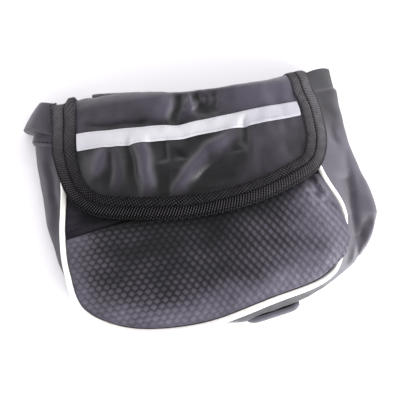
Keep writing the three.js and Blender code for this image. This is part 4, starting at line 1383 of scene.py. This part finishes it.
@dataclass
class Flap(Part):
    """Nylon over the mouth, with a folded ribbed tape round its edge and a reflective ribbon across it."""

    top_row: float = 3.0
    bottom_row: float = 4.0
    corner_row: float = 5.4
    rib: float = 1.65
    rib_height: float = 0.42
    outer_slant: float = 0.45
    inner_slant: float = 0.7
    cloth_gap: float = 0.12
    upper_columns: int = 23
    binding_step: float = 0.27
    tuck: float = 2.0
    edge_tuck: float = 1.4
    tuck_at: float = 17.0
    tuck_reach: float = 4.0
    left_spread: float = 2.2
    painted_light_down: tuple[float, float] = (8.0, 26.0)
    painted_light_across: tuple[float, float] = (0.0, 60.0)
    ribbon_rows: int = 20
    ribbon_wall: float = 0.55
    ribbon_dip: float = 0.8
    dip_at: float = -6.0
    dip_reach: float = 7.0
    ribbon_shaded: tuple[float, float] = (5.0, 60.0)

    @property
    def end_share(self) -> float:
        """Share of the flap's width that the binding covers at each end of the ribbon."""
        form = self.form
        span = form.flap_edge(FLAP_EDGE.last - self.top_row)[0] - form.flap_edge(self.top_row)[0]
        return (form.binding_width + form.ribbon_end_gap) / float(span)

    def line(self, row: float, u: Array) -> Array:
        """Line across the flat layout at a row of the edge's table."""
        form = self.form
        if row == self.corner_row:
            return form.flap_edge(row + (FLAP_EDGE.last - 2 * row) * u)
        ends = form.flap_edge(np.array([row, FLAP_EDGE.last - row]))
        line = ends[0] + (ends[1] - ends[0]) * u[:, None]
        column = {self.top_row: "top", self.bottom_row: "bottom"}.get(row)
        if column:
            line[:, 1] += RIBBON_SAG.read(column, u * RIBBON_SAG.last) * form.flap_drop
        return line

    def band(self, start: float, end: float, u: Array, count: int) -> Array:
        """Grid of the flat layout between two rows."""
        form = self.form
        v = np.linspace(0, 1, count)
        rows = start + (end - start) * v
        left, right = form.flap_edge(rows), form.flap_edge(FLAP_EDGE.last - rows)
        return patch(left, right, u, v, self.line(end, u), self.line(start, u))

    def cloth(self) -> bpy.types.Object:
        """The flap's cloth."""
        form = self.form
        u = np.linspace(0, 1, 190)
        top, bottom = self.top_row, self.bottom_row
        spans = ((0, top, 60), (top, bottom, 14), (bottom, self.corner_row, 60))
        parts = [self.band(start, end, u, count) for start, end, count in spans]
        flat = np.concatenate([parts[0], *(part[:, 1:] for part in parts[1:])], axis=1)
        half = np.full(flat.shape[:2], form.flap_wall / 2)
        x, down = flat[..., 0], flat[..., 1]
        y = form.mouth_line - down
        swell = form.flap_swell(x, y) + 0.5 * form.folds(FLAP_FOLDS, x, y)
        # Painted light towards the roll at the top and towards the right, and painted shade in the folds,
        # from the folds' height.
        painted_light_and_shade = 1.4 * (1 - ease(down, *self.painted_light_down)) + 1.2 * ease(x, *self.painted_light_across) - 1.5
        tone = 0.5 + 0.5 * np.tanh(swell / 1.1 + painted_light_and_shade)
        outer, inner = form.off_flap(flat, half), form.off_flap(flat, -half)
        made = self.shop.sheet("flap_cloth", outer, inner, flat, tone)
        return self.shop.dress(made, NYLON, "flap")

    def ribbon(self) -> list[bpy.types.Object]:
        """The reflective ribbon and its two rows of stitches."""
        form = self.form
        u = np.linspace(self.end_share, 1 - self.end_share, 230)
        flat = self.band(self.top_row, self.bottom_row, u, self.ribbon_rows)
        x, down = flat[..., 0], flat[..., 1]
        dip = self.ribbon_dip * np.exp(-((x - self.dip_at) / self.dip_reach) ** 2)
        down = down + 0.35 * noise(x, down * 0, (17, 9), 81) + dip
        v = np.linspace(0, 1, self.ribbon_rows)[None]
        edge = 0.22 * (1 - ease(np.minimum(v, 1 - v), 0, 0.07))
        swell = 0.08 * noise(x, down, (5, 4), 82)
        foot = np.full(x.shape, form.flap_wall / 2 + 0.02)
        flat = points(x, down)
        top = form.off_flap(flat, foot + self.ribbon_wall - edge + swell)
        # Painted shade: the tape's colour darkens towards its right end.
        unshaded_share = 1 - ease(x, *self.ribbon_shaded)
        made = self.shop.sheet("ribbon_tape", top, form.off_flap(flat, foot), flat, unshaded_share)
        ribbon = self.shop.dress(made, TAPE, "reflective_ribbon")
        normal = normals(top)
        sewn = [(top[3:-3, k], -normal[3:-3, k]) for k in (2, self.ribbon_rows - 3)]
        sewn = [(path, out * np.sign(out[:, 2:])) for path, out in sewn]
        row = StitchRow(
            self.shop, "ribbon_stitches", PALE_THREAD, pitch=2.2, length=1.5, radius=0.16, lift=0.0)
        return [ribbon, row.build(sewn)]

    def profile(self) -> TapeProfile:
        """Cross-section of the tape: two ridges on top with the stitches' groove between them."""
        form = self.form
        wall, width = form.binding_wall, form.binding_width
        hollow = form.flap_wall / 2 + self.cloth_gap
        upper = np.linspace(1, 0, self.upper_columns)
        ridge = np.abs(2 * upper - np.floor(2 * upper + 1e-9) - 0.5) * 2
        ridge[-1] = ridge[0] = 1.0
        crown = np.sqrt(np.clip(1 - ridge ** 2.4, 0, 1))
        turn = np.linspace(np.pi / 2, -np.pi / 2, 9)[1:-1]
        lower = np.array([0.0, 0.35, 0.7, 1.0])
        rest = len(turn) + len(lower)
        stand = (
            hollow + wall * (0.5 + 0.62 * crown),
            (hollow + 0.5 * wall) * np.sin(turn),
            np.full(len(lower), -hollow - 0.8 * wall),
        )
        inner_stand = (np.full(len(upper), hollow), hollow * np.sin(turn), np.full(len(lower), -hollow))
        return TapeProfile(
            inset=np.concatenate([upper * width, -form.seam_gap - wall * np.cos(turn), lower * width]),
            stand=np.concatenate(stand),
            inner_inset=np.concatenate([upper * width, -0.1 * np.cos(turn), lower * width]),
            inner_stand=np.concatenate(inner_stand),
            ribbed=np.concatenate([0.25 + 0.75 * crown, np.full(rest, 0.3)]),
            second=np.concatenate([ease(upper, 0.46, 0.56), np.zeros(rest)]),
            hollow=hollow,
        )

    def binding(self) -> list[bpy.types.Object]:
        """The ribbed tape folded round the edge, and the stitches in its groove."""
        form, cut = self.form, self.profile()
        width, ribbed = form.binding_width, cut.ribbed
        dense = np.linspace(0, FLAP_EDGE.last, 4000)
        rim = form.flap_edge(dense)
        path = form.flap_point(rim[:, 0], rim[:, 1])
        length, _, place = resample(path, self.binding_step, dense[:, None])
        place = place[:, 0]
        s, i = length[:, None], cut.inset[None]
        pucker = 0.45 * noise(s, i * 0.4, (7, 5), 91) + 0.16 * i / width
        left = 1 - ease(place, 3.6, 5.2)[:, None]
        outer_slant = self.outer_slant * (1 + left)
        slant = np.where(i < width / 2, -outer_slant * i, self.inner_slant * (i - width / 2))
        phase = (s + slant) / self.rib + cut.second * (0.35 + pucker) + 0.12 * noise(s, i, (9, 4), 92)
        lobe = np.abs(np.sin(np.pi * phase)) ** 1.2
        weft = 0.5 + 0.5 * np.cos(2 * np.pi * i / 1.35 + np.pi * np.floor(phase))
        # Wear and painted light: the sides lighter with flatter ribs, the bottom in painted shade, the outer
        # ridge more than the inner.
        wear_and_painted_light = BINDING_WEAR_AND_LIGHT.read("share", place / FLAP_EDGE.last * BINDING_WEAR_AND_LIGHT.last)[:, None]
        wear_and_painted_light = wear_and_painted_light * np.where(i < width / 2, 1, 0.65)
        rise = self.rib_height * (1 - 0.75 * wear_and_painted_light) * (lobe - 0.5) * ribbed + 0.05 * weft * ribbed
        swell = cut.second * 0.35 * noise(s, i * 0, (5, 5), 93) + 0.12 * noise(s, i, (14, 9), 94)
        tuck = self.tuck * ease(i, 0.45 * width, 0.75 * width)
        tuck = tuck + self.edge_tuck * (1 - ease(i, 0, 0.5 * width))
        swell = swell + tuck * np.exp(-((s - self.tuck_at) / self.tuck_reach) ** 4)
        shift = cut.second * 0.5 * noise(s, i * 0, (3.1, 5), 95) * (i > 0.9 * width)
        stood = cut.stand + np.where(cut.stand < 0, -1, 1) * rise + np.where(cut.stand > cut.hollow, swell, 0)

        def off_edge(inset: Array, stand: Array, moved: Array | float) -> Array:
            """One face of the tape."""
            inset = inset + moved - self.left_spread * left * np.clip(1 - inset / width, 0, 1)
            flat = form.flap_edge(np.broadcast_to(place[:, None], phase.shape), inset)
            return form.off_flap(flat, np.broadcast_to(stand, phase.shape), False)

        outer, inner = off_edge(cut.inset, stood, shift), off_edge(cut.inner_inset, cut.inner_stand, 0.0)
        # Painted highlights on the rib tops, and painted shade between the ribs, in the stitches' groove and
        # round the fold.
        rib_highlight = 0.75 * lobe ** 4 * (0.1 + 0.9 * weft)
        relief = (rib_highlight * (1 - wear_and_painted_light) + (0.5 + 0.5 * lobe) * wear_and_painted_light) * (0.2 + 0.8 * ribbed)
        uv = points(np.broadcast_to(s, phase.shape), np.broadcast_to(i, phase.shape))
        made = self.shop.sheet("binding_tape", outer, inner, uv, np.clip(relief, 0, 1), 85.0)
        tape = self.shop.dress(made, GROSGRAIN, "flap_binding")
        groove = (slice(6, -6), self.upper_columns // 2)
        row = StitchRow(self.shop, "binding_stitches", THREAD, pitch=2.9, length=2.1, radius=0.24, lift=0.12)
        return [tape, row.build([(outer[groove], unit(outer[groove] - inner[groove]))])]

    def closure(self) -> None:
        """The hidden hook-and-loop patch between the flap and the band."""
        form = self.form
        top = form.closure_top()
        across = np.linspace(-form.closure_reach, form.closure_reach, 61)
        x, y = np.meshgrid(across, np.linspace(top, top - form.closure_height, 17), indexing="ij")
        nap = 0.12 * noise(x, y, (1.6, 1.6), 55)
        base = form.front(x, y) + form.seam_gap
        outer = points(x, y, base + form.closure_wall - 0.15 + nap)
        self.shop.dress(self.shop.sheet("closure_loops", outer, points(x, y, base)), LOOP, "closure_patch")

    def build(self) -> None:
        """Makes the flap and all that is sewn to it."""
        form = self.form
        cloth = self.cloth()
        trimmings = self.ribbon() + self.binding()
        self.closure()
        x, down = form.flap_edge(np.linspace(0, FLAP_EDGE.last, 400)).T


@dataclass
class Studio(Part):
    """Pale floor, white room, one soft light and the camera at the photograph's angle."""

    azimuth: float = -8.0
    elevation: float = 76.0
    distance: float = 430.0
    lens: float = 65.0
    look_at: tuple[float, float, float] = (0.0, 75.0, 12.0)
    key_place: tuple[float, float, float] = (0.8, -0.65, 0.13)
    key_size: float = 0.6
    key_power: float = 38.0
    room_colour: str = "fdfaff"
    horizon: float = 3.4
    middle: float = 0.24
    wall_heights: tuple[float, float] = (0.42, 0.72)
    overhead: float = 0.9
    overhead_way: tuple[float, float, float] = (0.3, 0.62, 0.725)
    overhead_span: tuple[float, float] = (0.82, 0.98)
    floor_reach: float = 3.0
    floor_drop: float = 0.0002

    def camera(self) -> None:
        """Sets the camera."""
        turn, rise = math.radians(self.azimuth), math.radians(self.elevation)
        back = Vector((math.sin(turn) * math.cos(rise), -math.cos(turn) * math.cos(rise), math.sin(rise)))
        data = bpy.data.cameras.new("photo_camera")
        data.lens, data.sensor_width = self.lens, 36.0
        data.clip_start, data.clip_end = 0.01, 20.0
        made = bpy.data.objects.new("photo_camera", data)
        target = Vector((np.array(self.look_at) + self.shop.shift) * MM)
        self.aim(made, target + back * self.distance * MM, -back)
        bpy.context.scene.camera = made

    def aim(self, made: bpy.types.Object, place: Vector, way: Vector) -> None:
        """Puts a camera or light in its place and turns it to look one way."""
        made.location = place
        made.rotation_mode = "QUATERNION"
        made.rotation_quaternion = way.to_track_quat("-Z", "Y")
        bpy.context.scene.collection.objects.link(made)

    def light(self) -> None:
        """Adds the one soft square light, which faces the bag."""
        data = bpy.data.lights.new("key_softbox", "AREA")
        data.size, data.energy = self.key_size, self.key_power
        place = Vector(self.key_place)
        self.aim(bpy.data.objects.new("key_softbox", data), place, -place)

    def room(self) -> None:
        """Sets a white room: bright walls and ceiling with a dim band between them."""
        world = bpy.data.worlds.new("white_room")
        world.use_nodes = True
        tree = world.node_tree
        tree.nodes.clear()
        way = add(tree, "ShaderNodeTexCoord").outputs[0]
        height = add(tree, "ShaderNodeSeparateXYZ", {0: way}).outputs[2]
        near = add(tree, "ShaderNodeVectorMath", {0: way, 1: self.overhead_way}, operation="DOT_PRODUCT")
        spans = (
            (height, *self.wall_heights, self.horizon, self.middle),
            (near.outputs["Value"], *self.overhead_span, 0.0, self.overhead),
        )
        walls, ceiling = (
            add(tree, "ShaderNodeMapRange", dict(enumerate(span)), interpolation_type="SMOOTHSTEP")
            for span in spans)
        strength = add(tree, "ShaderNodeMath", {0: walls.outputs[0], 1: ceiling.outputs[0]}, operation="ADD")
        colour = linear(self.room_colour)
        glow = add(tree, "ShaderNodeBackground", {"Color": colour, "Strength": strength.outputs[0]})
        add(tree, "ShaderNodeOutputWorld", {"Surface": glow.outputs[0]})
        bpy.context.scene.world = world

    def build(self) -> None:
        """Makes the floor, the room, the light and the camera."""
        data = bpy.data.meshes.new("studio_floor")
        sides = ((-1, -1), (1, -1), (1, 1), (-1, 1))
        corners = [(x * self.floor_reach, y * self.floor_reach, -self.floor_drop) for x, y in sides]
        data.from_pydata(corners, [], [(0, 1, 2, 3)])
        data.uv_layers.new(name=Link.CLOTH.value)
        floor = bpy.data.objects.new("studio_floor", data)
        floor.data.materials.append(self.shop.material(FLOOR))
        bpy.context.scene.collection.objects.link(floor)
        self.room()
        self.light()
        bpy.context.scene.view_settings.view_transform = "Standard"
        self.camera()


def main() -> None:
    """Builds the bag piece by piece, then the studio."""
    logging.basicConfig(level=logging.INFO, format="%(name)s: %(message)s")
    form = BagForm()
    shop = Workshop(form)
    shop.settle()
    half, height = form.half_width, form.panel_height
    lower = Strap(
        shop, "lower_strap", tip_x=0.41 * half, tip_y=0.008 * height, lean=math.radians(9.5), inward=1)
    upper = Strap(
        shop, "upper_strap", tip_x=-0.5 * half, tip_y=1.098 * height, lean=math.radians(-5), inward=-1,
        corner=0.4)
    bag = (FrontPanel(shop), Piping(shop), Gusset(shop, lower), BackPanel(shop), Flap(shop), lower, upper)
    for part in (*bag, Studio(shop)):
        part.build()
        LOG.info("%s is built", type(part).__name__)
    LOG.info("%d faces in all", shop.faces)


if __name__ == "__main__":
    main()
